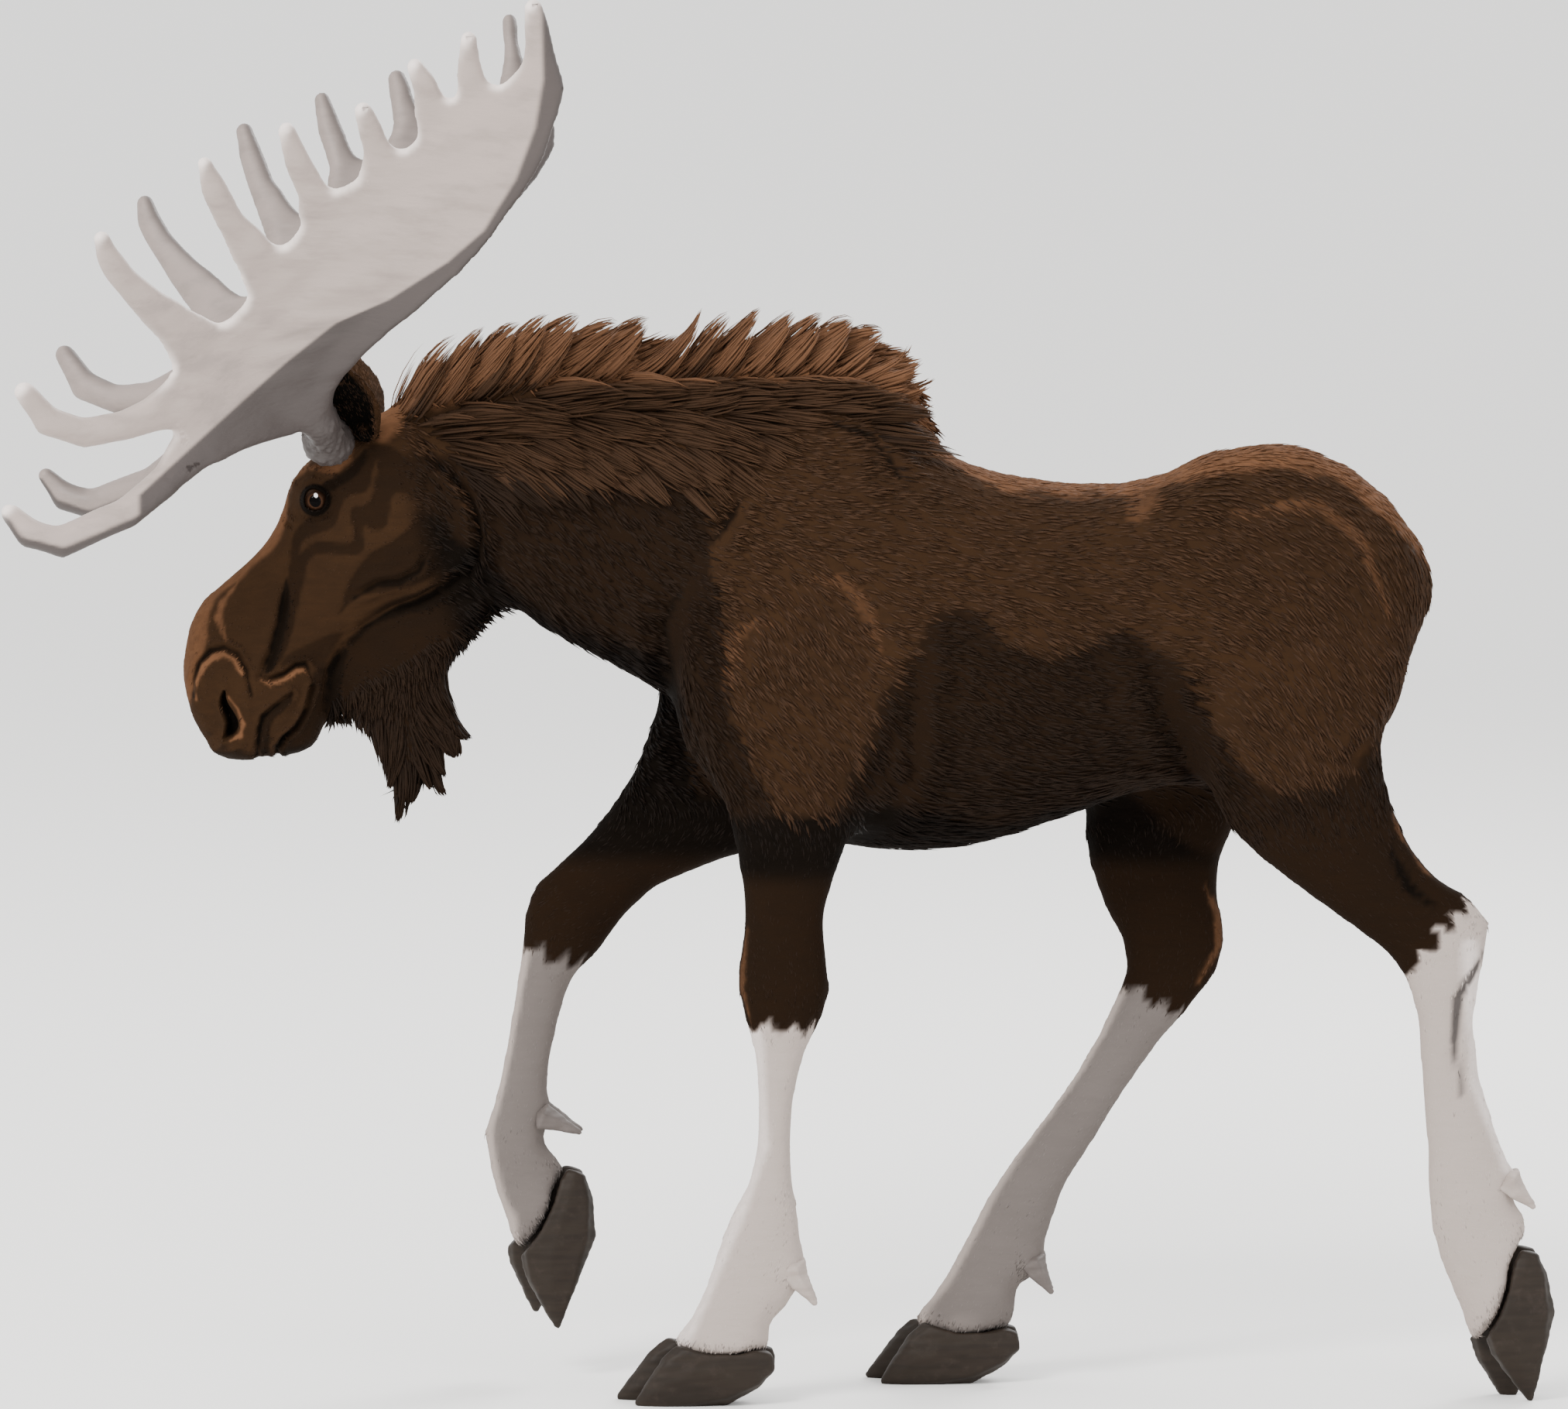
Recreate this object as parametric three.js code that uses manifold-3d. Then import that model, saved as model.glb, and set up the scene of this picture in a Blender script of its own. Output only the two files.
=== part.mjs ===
// A bull moose in mid stride, life size, in millimetres. +Z is up, the nose points to -X and the left side
// is -Y. Three feet stand on the floor at z = 0 and the right forefoot is lifted. The origin is under the
// middle of the whole length, between the brow tines and the left hind hoof.
import * as THREE from "three";
import { mergeVertices } from "three/addons/utils/BufferGeometryUtils.js";
import Module from "manifold-3d";

const wasm = await Module();
wasm.setup();

// ---------------------------------------------------------------- driving dimensions
const gap = 0.3; // what touching pieces keep between them
const withersHeight = 1918; // top of the hump under the mane
const bellyHeight = 1008;
const chestHalf = 262; // half width of the rib cage at the shoulders
const bellyHalf = 318;
const skullHalf = 112; // half width of the head at the eyes
const muzzleHalf = 94;
const eyeAt = [-860, 1660]; // side view place of the left eye
const eyeRadius = 23;
const lidThick = 4.5;
const hoofLength = 250;
const hoofHeight = 100; // height of the coronet, where hair ends and horn begins
const coronetSlope = 8; // degrees that the coronet rises from heel to toe
const coronetChord = 200;
const coronetSag = 18; // how far its middle hangs below its ends
const clawHalf = 31;
const clawOffset = 33; // from the foot's middle to the middle of each claw
const kneeHeight = 700; // where the standing foreleg is parted under the knee
const pedicle = [-836, 1770]; // side view place of the antler's root
const pedicleReach = 82; // how far from the middle plane the antler starts
const burrRadius = 44;
const antlerYaw = 3; // degrees that the right antler is turned back
const browReach = 420; // how far out the forward tines go
const palmReach = 715; // how far out the palm goes
const palmHalf = 11; // half thickness of the palm between its tines
const earLength = 175;
const maneLength = 185;

// ---------------------------------------------------------------- helpers
const vec = (x, y, z) => new THREE.Vector3(x, y, z);
const smoothstep = THREE.MathUtils.smoothstep;
const degrees = THREE.MathUtils.degToRad;

// A repeatable draw between -1 and 1.
function draws(seed) {
  let state = seed;
  return () => {
    state = (state * 1664525 + 1013904223) % 4294967296;
    return (state / 4294967296) * 2 - 1;
  };
}

const bent = (v, power) => Math.sign(v) * Math.abs(v) ** power;

const curveThrough = (points) =>
  new THREE.CatmullRomCurve3(points, false, "catmullrom", 0.5);

// A ring of a form lies between two opposite points of its outline, a and b, and is 2 * half thick across
// them. egg makes it wider towards a, square under 1 makes it boxier.
const ring = (a, b, half, egg = 0, square = 0.92) => ({
  a: vec(...a),
  b: vec(...b),
  half,
  egg,
  square,
});

// The same from side view points [x, z], at one distance y from the middle plane.
const sideRing = ([ax, az], [bx, bz], half, y = 0, egg = 0, square = 0.92) =>
  ring([ax, y, az], [bx, y, bz], half, egg, square);

const flipped = (rings) =>
  rings.map((r) => ({
    ...r,
    a: vec(r.a.x, -r.a.y, r.a.z),
    b: vec(r.b.x, -r.b.y, r.b.z),
  }));

// A smooth closed form through its rings. Swellings push its skin out round a place, or in where out is
// negative.
class Form {
  constructor(rings, sides = 16, steps = 16, cap = 0.35, swellings = []) {
    Object.assign(this, { sides, steps, cap, swellings });
    this.a = curveThrough(rings.map((r) => r.a));
    this.b = curveThrough(rings.map((r) => r.b));
    this.shape = curveThrough(rings.map((r) => vec(r.half, r.egg, r.square)));
  }

  frame(t) {
    const a = this.a.getPoint(t);
    const b = this.b.getPoint(t);
    const middle = (s) => this.a.getPoint(s).add(this.b.getPoint(s));
    const near = 1e-3;
    const along = middle(Math.min(1, t + near))
      .sub(middle(Math.max(0, t - near)))
      .normalize();
    const up = a.clone().sub(b).multiplyScalar(0.5);
    const across = along.clone().cross(up).normalize();
    const { x: half, y: egg, z: square } = this.shape.getPoint(t);
    return { centre: a.add(b).multiplyScalar(0.5), up, along, across, half, egg, square };
  }

  // The point at t along the form and at an angle round it, where 90 degrees is at a; grow moves it outwards.
  at(t, angle, grow = 0) {
    const f = this.frame(t);
    const u = bent(Math.sin(angle), f.square);
    const v = bent(Math.cos(angle), f.square);
    const point = f.centre
      .clone()
      .addScaledVector(f.up, u * (1 + grow / f.up.length()))
      .addScaledVector(f.across, (Math.max(f.half, 0.5) + grow) * v * (1 + f.egg * u));
    const away = point.clone().sub(f.centre).normalize();
    let rise = 0;
    for (const { at, size, out } of this.swellings) {
      rise += out * Math.exp(-((point.distanceTo(at) / size) ** 2));
    }
    return point.addScaledVector(away, rise);
  }

  normal(t, angle) {
    const step = 0.01;
    const round = this.at(t, angle + step).sub(this.at(t, angle - step));
    const forward = this.at(Math.min(1, t + step), angle).sub(this.at(Math.max(0, t - step), angle));
    const out = round.cross(forward).normalize();
    return out.dot(this.at(t, angle).sub(this.frame(t).centre)) < 0 ? out.negate() : out;
  }

  geometry(grow = 0) {
    const { sides, steps } = this;
    const positions = [];
    const index = [];
    for (let i = 0; i <= steps; i++)
      for (let j = 0; j < sides; j++)
        positions.push(...this.at(i / steps, Math.PI / 2 + (2 * Math.PI * j) / sides, grow));
    for (const [t, sign] of [
      [0, -1],
      [1, 1],
    ]) {
      const f = this.frame(t);
      const bulge = this.cap * Math.min(f.half, f.up.length()) + grow;
      const middle = this.at(t, 0).add(this.at(t, Math.PI)).multiplyScalar(0.5);
      positions.push(...middle.addScaledVector(f.along, sign * bulge));
    }
    const first = (steps + 1) * sides;
    for (let j = 0; j < sides; j++) {
      const k = (j + 1) % sides;
      const last = steps * sides;
      index.push(first, k, j, first + 1, last + j, last + k);
      for (let i = 0; i < steps; i++) {
        const low = i * sides;
        const high = low + sides;
        index.push(low + j, low + k, high + j, low + k, high + k, high + j);
      }
    }
    return closedGeometry(positions, index);
  }

  solid(grow = 0) {
    return solidOf(this.geometry(grow));
  }
}

function closedGeometry(positions, index) {
  const corner = (i) => vec(...positions.slice(3 * i, 3 * i + 3));
  let volume = 0;
  for (let i = 0; i < index.length; i += 3)
    volume += corner(index[i]).dot(corner(index[i + 1]).cross(corner(index[i + 2])));
  if (volume < 0)
    for (let i = 0; i < index.length; i += 3)
      [index[i], index[i + 1]] = [index[i + 1], index[i]];
  return new THREE.BufferGeometry()
    .setAttribute("position", new THREE.Float32BufferAttribute(positions, 3))
    .setIndex(index);
}

// A three.js geometry as a manifold-3d solid.
function solidOf(geometry) {
  const bare = geometry.clone();
  bare.deleteAttribute("normal");
  bare.deleteAttribute("uv");
  const merged = mergeVertices(bare, 1e-4);
  return new wasm.Manifold(
    new wasm.Mesh({
      numProp: 3,
      vertProperties: new Float32Array(merged.attributes.position.array),
      triVerts: new Uint32Array(merged.index.array),
    }),
  );
}

const joined = (solids) => solids.reduce((whole, piece) => whole.add(piece));
const without = (solid, cutters) => cutters.reduce((rest, cutter) => rest.subtract(cutter), solid);

// Only the largest closed surface of a solid.
const largest = (solid) =>
  solid.decompose().reduce((best, piece) => (piece.volume() > best.volume() ? piece : best));

// A plane seen from the side as the line from one point to another; "ahead" is the side on the line's left
// hand.
function sidePlane([x0, z0], [x1, z1]) {
  const normal = vec(-(z1 - z0), 0, x1 - x0).normalize();
  const offset = normal.dot(vec(x0, 0, z0));
  return {
    ahead: (solid) => solid.trimByPlane([...normal], offset + gap / 2),
    behind: (solid) => solid.trimByPlane([...normal.clone().negate()], gap / 2 - offset),
  };
}

// A round tube through points, with a radius at each; side is any direction that it doesn't run along.
function tube(points, radii, { sides = 8, steps = 8, side = vec(0, 1, 0) } = {}) {
  const line = curveThrough(points.map((p) => vec(...p)));
  const rings = points.map((p, i) => {
    const t = i / (points.length - 1);
    const tangent = line.getTangent(t);
    const reach = tangent.clone().cross(side).normalize().multiplyScalar(radii[i]);
    const centre = vec(...p);
    return {
      a: centre.clone().add(reach),
      b: centre.clone().sub(reach),
      half: radii[i],
      egg: 0,
      square: 1,
    };
  });
  return new Form(rings, sides, steps, 0.6);
}

// ---------------------------------------------------------------- trunk, neck and head
// Rings run from nose to tail, with a on the back line and b on the belly line.
// Swellings of the left side, given as [x, y, z], size and out, and their twins on the right.
const onBothSides = (rows) =>
  rows.flatMap(([x, y, z, size, out]) => [1, -1].map((side) => ({ at: vec(x, y * side, z), size, out })));

const torsoMuscles = onBothSides([
  [-70, -215, 1520, 190, 26], // shoulder blade
  [-150, -150, 1400, 90, 18], // point of the shoulder
  [90, -245, 1270, 120, 16], // upper arm
  [620, -260, 1450, 130, -24], // hollow of the flank
  [770, -190, 1670, 70, 16], // hip bone
  [930, -215, 1470, 200, 22], // thigh
  [1120, -90, 1540, 80, 10], // seat bone
]);
const torso = new Form(
  [
    sideRing([-225, 1560], [-222, 1320], 112),
    sideRing([-165, 1760], [-180, 1186], 184, 0, -0.15),
    sideRing([-70, withersHeight - 8], [-100, 1086], 218, 0, -0.28, 1),
    sideRing([30, withersHeight], [10, 1032], chestHalf - 8, 0, -0.3, 1.02),
    sideRing([140, 1890], [125, bellyHeight], chestHalf + 20, 0, -0.26, 1),
    sideRing([228, 1806], [220, bellyHeight - 6], 306, 0, -0.18, 0.96),
    sideRing([318, 1736], [315, bellyHeight], bellyHalf, 0, -0.12, 0.92),
    sideRing([440, 1702], [445, 1038], bellyHalf + 4, 0, -0.08, 0.9),
    sideRing([570, 1688], [570, 1086], 304, 0, -0.04, 0.88),
    sideRing([680, 1700], [680, 1118], 272, 0, 0, 0.9),
    sideRing([770, 1742], [780, 1120], 250, 0, 0, 0.94),
    sideRing([880, 1762], [890, 1126], 236, 0, 0, 0.96),
    sideRing([975, 1752], [985, 1140], 222, 0, 0, 0.96),
    sideRing([1078, 1694], [1072, 1180], 204, 0, 0, 0.94),
    sideRing([1150, 1612], [1130, 1262], 168, 0, 0, 0.92),
    sideRing([1182, 1535], [1160, 1372], 104),
  ],
  24,
  18,
  0.35,
  torsoMuscles,
);

const neck = new Form(
  [
    sideRing([-750, 1806], [-660, 1600], 84),
    sideRing([-655, 1842], [-585, 1500], 112, 0, -0.1, 1),
    sideRing([-545, 1884], [-500, 1447], 130, 0, -0.14, 1),
    sideRing([-420, 1902], [-410, 1392], 146, 0, -0.14, 1),
    sideRing([-290, 1908], [-310, 1340], 164, 0, -0.14, 1),
    sideRing([-160, 1912], [-215, 1285], 188, 0, -0.16, 1),
    sideRing([0, 1906], [-80, 1200], 212, 0, -0.18, 1),
  ],
  18,
  9,
  0.35,
  onBothSides([[-560, -120, 1640, 90, -10]]), // hollow behind the jaw
);

const headMuscles = onBothSides([
  [-655, -84, 1580, 88, 20], // cheek muscle
  [-700, -80, 1480, 60, 6], // angle of the jaw
  [-872, -96, 1694, 42, 16], // brow over the eye
  [-800, -96, 1700, 55, -8], // temple
  [-888, -90, 1600, 60, -6], // hollow in front of the eye
  [-960, -76, 1500, 80, -9], // side of the nose bone
  [-1020, -88, 1280, 66, 15], // wing of the nostril
  [-1000, -50, 1190, 44, 8], // lobe of the upper lip
  [-915, -84, 1300, 42, 8], // flap of the upper lip
  [-868, -60, 1400, 60, -8], // bar of the jaw
]);
const head = new Form(
  [
    sideRing([-1030, 1182], [-968, 1180], 20),
    sideRing([-1054, 1196], [-905, 1180], 58, 0, 0.05, 0.86),
    sideRing([-1082, 1236], [-864, 1200], 82, 0, 0.05, 0.84),
    sideRing([-1104, 1290], [-846, 1236], muzzleHalf - 2, 0, 0.08, 0.84),
    sideRing([-1111, 1345], [-835, 1278], muzzleHalf, 0, 0.1, 0.86),
    sideRing([-1101, 1412], [-822, 1324], 86, 0, 0.08, 0.88),
    sideRing([-1078, 1466], [-800, 1368], 79, 0, 0.02, 0.9),
    sideRing([-1012, 1528], [-762, 1408], 80, 0, -0.04, 0.92),
    sideRing([-964, 1574], [-722, 1440], 88, 0, 0.04, 0.94),
    sideRing([-930, 1626], [-672, 1466], 103, 0, 0.16, 0.94),
    sideRing([-914, 1682], [-620, 1498], skullHalf, 0, 0.2, 0.94),
    sideRing([-868, 1738], [-578, 1545], skullHalf, 0, 0.16, 0.94),
    sideRing([-812, 1788], [-558, 1606], 106, 0, 0.06, 0.94),
    sideRing([-752, 1812], [-562, 1678], 96, 0, 0, 0.96),
    sideRing([-700, 1808], [-600, 1735], 62),
  ],
  20,
  21,
  0.35,
  headMuscles,
);

const pedicleStump = [
  [pedicle[0] + 14, -20, pedicle[1] - 26],
  [pedicle[0] + 4, -62, pedicle[1] - 9],
  [pedicle[0], -pedicleReach, pedicle[1]],
];

const bothSides = (make) => [1, -1].map(make);
const stumpSolids = (grow) =>
  bothSides((side) =>
    tube(
      pedicleStump.map(([x, y, z]) => [x, y * side, z]),
      [38, 36, 35].map((r) => r + grow),
      { sides: 10, steps: 2, side: vec(1, 0, 0) },
    ).solid(),
  );

const headFlesh = (grow = 0) => joined([head.solid(grow), ...stumpSolids(grow)]);

// ---------------------------------------------------------------- limbs
// Rings run from the top of the shoulder or haunch down to the coronet, a at the front and b at the rear.
// A row is front x, z, rear x, z, half width, and y of the left limb.
const limb = (rows) =>
  rows.map(([ax, az, bx, bz, half, y]) => sideRing([ax, az], [bx, bz], half, y, 0, 0.95));

const standingForeleg = limb([
  [-60, 1600, 100, 1600, 30, -140],
  [-130, 1510, 150, 1510, 48, -160],
  [-190, 1424, 196, 1414, 74, -174],
  [-200, 1310, 224, 1300, 92, -188],
  [-166, 1212, 214, 1196, 92, -188],
  [-118, 1112, 158, 1108, 82, -183],
  [-90, 1014, 112, 1014, 70, -178],
  [-79, 942, 90, 950, 60, -175],
  [-76, 878, 74, 878, 54, -172],
  [-90, 800, 88, 796, 60, -170],
  [-82, 730, 82, 728, 57, -170],
  [-60, 664, 48, 668, 43, -170],
  [-51, 575, 22, 575, 34, -170],
  [-52, 480, 15, 480, 34, -170],
  [-72, 395, 20, 400, 40, -170],
  [-114, 328, 36, 312, 48, -170],
  [-136, 246, 34, 236, 50, -170],
  [-164, 182, 6, 172, 54, -170],
  [-194, 122, -18, 116, 60, -170],
  [-212, 80, -22, 74, 62, -170],
]);

const liftedForeleg = limb([
  [-60, 1600, 100, 1600, 30, -140],
  [-130, 1520, 140, 1500, 48, -160],
  [-196, 1436, 180, 1394, 74, -174],
  [-228, 1350, 170, 1270, 91, -188],
  [-246, 1262, 120, 1120, 90, -188],
  [-286, 1142, -20, 990, 78, -180],
  [-340, 1052, -180, 945, 64, -172],
  [-402, 982, -270, 890, 56, -166],
  [-456, 938, -318, 828, 58, -162],
  [-484, 880, -352, 786, 58, -160],
  [-490, 812, -388, 752, 48, -160],
  [-502, 730, -408, 700, 37, -160],
  [-520, 620, -432, 600, 33, -160],
  [-540, 525, -440, 520, 36, -160],
  [-562, 455, -430, 462, 44, -160],
  [-548, 385, -424, 420, 48, -160],
  [-534, 325, -400, 390, 52, -160],
  [-496, 250, -408, 398, 58, -160],
  [-462, 190, -376, 352, 60, -160],
]);

const trailingHindleg = limb([
  [820, 1580, 980, 1580, 30, -104],
  [744, 1530, 1050, 1536, 56, -124],
  [690, 1466, 1120, 1480, 84, -136],
  [670, 1396, 1160, 1424, 104, -144],
  [700, 1276, 1150, 1340, 108, -150],
  [744, 1176, 1116, 1262, 98, -150],
  [806, 1066, 1106, 1190, 88, -145],
  [886, 990, 1126, 1100, 75, -138],
  [984, 916, 1164, 1014, 60, -130],
  [1072, 852, 1222, 952, 49, -123],
  [1128, 800, 1298, 912, 47, -118],
  [1158, 726, 1292, 824, 46, -115],
  [1168, 640, 1272, 712, 39, -113],
  [1172, 556, 1286, 592, 34, -111],
  [1182, 462, 1318, 492, 37, -109],
  [1182, 358, 1350, 402, 44, -107],
  [1200, 272, 1368, 342, 49, -105],
  [1230, 196, 1378, 312, 54, -104],
  [1266, 122, 1380, 300, 60, -103],
  [1300, 66, 1404, 264, 62, -102],
]);

const standingHindleg = limb([
  [800, 1580, 970, 1580, 30, -104],
  [724, 1530, 1040, 1536, 56, -124],
  [660, 1466, 1110, 1480, 84, -136],
  [610, 1396, 1140, 1420, 104, -144],
  [572, 1280, 1080, 1310, 108, -150],
  [548, 1170, 960, 1180, 98, -150],
  [546, 1070, 860, 1070, 86, -144],
  [562, 962, 812, 966, 72, -136],
  [596, 872, 812, 886, 58, -128],
  [634, 800, 826, 806, 49, -122],
  [622, 744, 784, 730, 46, -118],
  [590, 668, 712, 650, 39, -116],
  [536, 572, 634, 540, 34, -114],
  [474, 486, 570, 436, 36, -112],
  [408, 398, 518, 352, 44, -112],
  [360, 320, 494, 272, 49, -112],
  [318, 232, 470, 206, 52, -112],
  [270, 158, 442, 152, 57, -112],
  [240, 108, 426, 104, 61, -112],
  [226, 72, 418, 66, 62, -112],
]);

// Each leg: its rings, the side view line that parts it from the trunk, the line under the knee or hock,
// the foot's heel and turn, and where the dewclaws grow. side is -1 for a left leg as modelled, 1 for a
// right one.
const legs = [
  {
    name: "foreleg_left",
    rings: standingForeleg,
    side: 1,
    top: sidePlane([-300, 1112], [300, 1112]),
    middle: sidePlane([-300, kneeHeight], [300, kneeHeight]),
    foot: { heel: [-36, 0], turn: 0, y: -170 },
    dewclaw: { root: [14, 252], tip: [58, 186] },
  },
  {
    name: "foreleg_right",
    rings: flipped(liftedForeleg),
    side: -1,
    top: sidePlane([-330, 1230], [200, 1090]),
    middle: sidePlane([-540, 822], [-300, 742]),
    foot: { heel: [-326, 338], turn: 63, y: 160 },
    dewclaw: { root: [-450, 492], tip: [-378, 462] },
  },
  {
    name: "hindleg_left",
    rings: trailingHindleg,
    side: 1,
    top: sidePlane([600, 1140], [1300, 1220]),
    middle: sidePlane([1070, 700], [1320, 1002]),
    foot: { heel: [1438, 232], turn: 70, y: -103 },
    dewclaw: { root: [1334, 404], tip: [1382, 356] },
  },
  {
    name: "hindleg_right",
    rings: flipped(standingHindleg),
    side: -1,
    top: sidePlane([400, 1120], [1200, 1160]),
    middle: sidePlane([560, 772], [820, 640]),
    foot: { heel: [418, 0], turn: 0, y: 112 },
    dewclaw: { root: [462, 226], tip: [498, 168] },
  },
];

// Claws are modelled with the heel at the origin and the toe towards -x, then turned toe down and set in
// place. A row is x, top, bottom and half width; the sole rises towards the heel.
const clawRows = [
  [12, 98, 64, 13],
  [-12, 118, 36, 25],
  [-62, 134, 6, clawHalf - 1],
  [-112, 142, -9, clawHalf],
  [-160, 128, -10, clawHalf - 1],
  [-205, 76, -10, 23],
  [-236, 30, -9, 14],
  [-hoofLength, 8, -6, 5],
];
const innerReach = 1.09; // how much longer the inner claw is
const clawRings = (spread, reach) =>
  clawRows.map(([x, top, bottom, half]) => {
    const y = spread * (clawOffset - x * 0.03);
    return ring([x * reach, y, top], [x * reach + 6, y, bottom], half, -0.08, 0.84);
  });

function footPlacement({ heel: [x, z], turn, y }) {
  return new THREE.Matrix4()
    .makeRotationY(degrees(-turn))
    .premultiply(new THREE.Matrix4().makeTranslation(x, y, z));
}

const placed = (solid, matrix) => solid.transform([...matrix.elements]);

// What lies over the coronet: all above a slanted plane, and a shallow bowl that sags below it.
function overCoronet(grow) {
  const size = 2400;
  const radius = coronetChord ** 2 / (8 * coronetSag) + coronetSag / 2;
  const slab = new THREE.BoxGeometry(size, size, size).translate(0, 0, size / 2 - grow);
  const bowl = new THREE.CylinderGeometry(radius + grow, radius + grow, size, 32)
    .translate(-coronetChord / 2 - 10, 0, 0)
    .translate(0, 0, radius - coronetSag);
  const sloped = (shape) => shape.rotateY(degrees(coronetSlope)).translate(0, 0, hoofHeight);
  return joined([slab, bowl].map((shape) => solidOf(sloped(shape))));
}

function claw(foot, spread, reach) {
  const whole = new Form(clawRings(spread, reach), 8, 6, 0.2).solid();
  const cut = whole.subtract(overCoronet(0)).trimByPlane([0, 0, 1], 0);
  return placed(cut, footPlacement(foot)).trimByPlane([0, 0, 1], 0);
}

function dewclaw({ root, tip }, y) {
  const middle = [(root[0] * 2 + tip[0]) / 3, (root[1] + tip[1]) / 2 + 6];
  return tube(
    [
      [root[0], y, root[1]],
      [middle[0], y, middle[1]],
      [tip[0], y, tip[1]],
    ],
    [21, 17, 5],
    { sides: 5, steps: 2 },
  ).solid();
}

// ---------------------------------------------------------------- antlers
// The antler is a cupped sheet: how far out it lies follows from where it is in the side view.
function outward(x, z) {
  const forward = x - pedicle[0];
  const rise = z - pedicle[1];
  const distance = Math.hypot(forward, rise);
  const reach =
    browReach + (palmReach - browReach) * smoothstep(rise / Math.max(distance, 1), -0.1, 0.7);
  return -78 - reach * (1 - Math.exp(-distance / (0.75 * reach)));
}
const onSheet = ([x, z]) => [x, outward(x, z), z];
const sheetRing = ([a, b, half, square = 0.6]) => ring(onSheet(a), onSheet(b), half, 0, square);

// A form whose chords follow the sheet, once they are clear of the beam; curl bends its end away from it.
class SheetForm extends Form {
  constructor(rings, sides, steps, cap, curl = 0) {
    super(rings, sides, steps, cap);
    this.curl = curl;
  }

  at(t, angle, grow = 0) {
    const point = super.at(t, angle, grow);
    const f = this.frame(t);
    const spine = f.centre.clone().addScaledVector(f.up, bent(Math.sin(angle), f.square));
    const fromBurr = Math.hypot(spine.x - pedicle[0], spine.z - pedicle[1]);
    point.y += (outward(spine.x, spine.z) - spine.y) * smoothstep(fromBurr, 60, 150) - this.curl * t * t;
    return point;
  }
}

// Beam and palm in one, from the burr to the last tine: front edge, rear edge, half thickness.
const [burrX, burrZ] = pedicle;
const palmFoot = [
  ring([burrX - burrRadius, -78, burrZ + 8], [burrX + burrRadius, -76, burrZ - 8], burrRadius, 0, 1),
  ring([burrX - burrRadius, -90, burrZ + 10], [burrX + burrRadius, -88, burrZ - 6], burrRadius, 0, 1),
  ring([-870, -106, 1788], [-802, -102, 1774], 33, 0, 1),
  ring([-880, -146, 1802], [-812, -138, 1802], 32, 0, 1),
];
const palmRows = [
  [[-905, 1809], [-828, 1845], 31, 0.95],
  [[-971, 1845], [-819, 1882], 26, 0.8],
  [[-1039, 1896], [-794, 1915], 20],
  [[-1061, 1960], [-743, 1968], 15],
  [[-1009, 2006], [-672, 2029], palmHalf + 1],
  [[-903, 2151], [-590, 2100], palmHalf],
  [[-813, 2256], [-521, 2181], palmHalf],
];
// The right antler ends in one tine where the left one has three, so its palm is lower.
const palmTops = {
  left: [
    [[-678, 2318], [-457, 2275], palmHalf],
    [[-604, 2419], [-417, 2362], palmHalf - 1],
    [[-509, 2434], [-398, 2434], palmHalf - 2],
    [[-474, 2474], [-405, 2467], palmHalf - 4],
  ],
  right: [
    [[-690, 2304], [-468, 2250], palmHalf],
    [[-626, 2350], [-456, 2306], palmHalf - 1],
    [[-580, 2372], [-484, 2350], palmHalf - 3],
  ],
};
const palmOf = (hand) => {
  const rings = [...palmFoot, ...[...palmRows, ...palmTops[hand]].map(sheetRing)];
  return new SheetForm(rings, 10, rings.length + 2, 0.2);
};

const browPalm = new SheetForm(
  [
    [[-959, 1900], [-896, 1791], 25],
    [[-1036, 1934], [-972, 1773], 22],
    [[-1106, 1922], [-1048, 1740], 17],
    [[-1122, 1884], [-1089, 1750], 12],
  ].map(sheetRing),
  10,
  5,
  0.2,
);

// Each tine: side view points from its root between two valleys to its tip, with the half width at each.
const browTines = [
  [
    [-1072, 1772, 44],
    [-1119, 1720, 28],
    [-1194, 1657, 28],
    [-1313, 1609, 29],
    [-1367, 1626, 25],
    [-1407, 1669, 10],
  ],
  [
    [-1098, 1860, 50],
    [-1144, 1839, 30],
    [-1196, 1818, 25],
    [-1268, 1809, 25],
    [-1332, 1832, 27],
    [-1376, 1893, 11],
  ],
];
const palmTines = [
  [
    [-1065, 1963, 62],
    [-1098, 2002, 38],
    [-1148, 2047, 28],
    [-1196, 2096, 24],
    [-1219, 2140, 18],
    [-1228, 2174, 9],
  ],
  [[-925, 2090, 58], [-955, 2134, 38], [-1001, 2202, 22], [-1027, 2263, 19], [-1042, 2309, 9]],
  [[-833, 2207, 45], [-848, 2249, 27], [-876, 2308, 20], [-895, 2369, 9]],
  [[-719, 2291, 49], [-726, 2322, 29], [-739, 2355, 21], [-757, 2407, 9]],
];
// The last row of tines, and how far the final one bends outwards.
const lastTines = {
  left: [
    [[-623, 2381, 44], [-632, 2411, 29], [-642, 2445, 18], [-664, 2487, 8]],
    [[-553, 2432, 42], [-560, 2455, 26], [-564, 2491, 16], [-564, 2538, 8]],
    [[-454, 2436, 55], [-437, 2477, 34], [-438, 2525, 22], [-449, 2597, 8]],
  ],
  right: [[[-528, 2340, 44], [-533, 2392, 26], [-541, 2450, 17], [-549, 2512, 8]]],
};
const lastBend = { left: 8, right: 56 };
const tineRoot = 34; // how deep a tine is sunk in the palm
const rootShare = 0.7; // how wide its sunken end is

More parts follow.
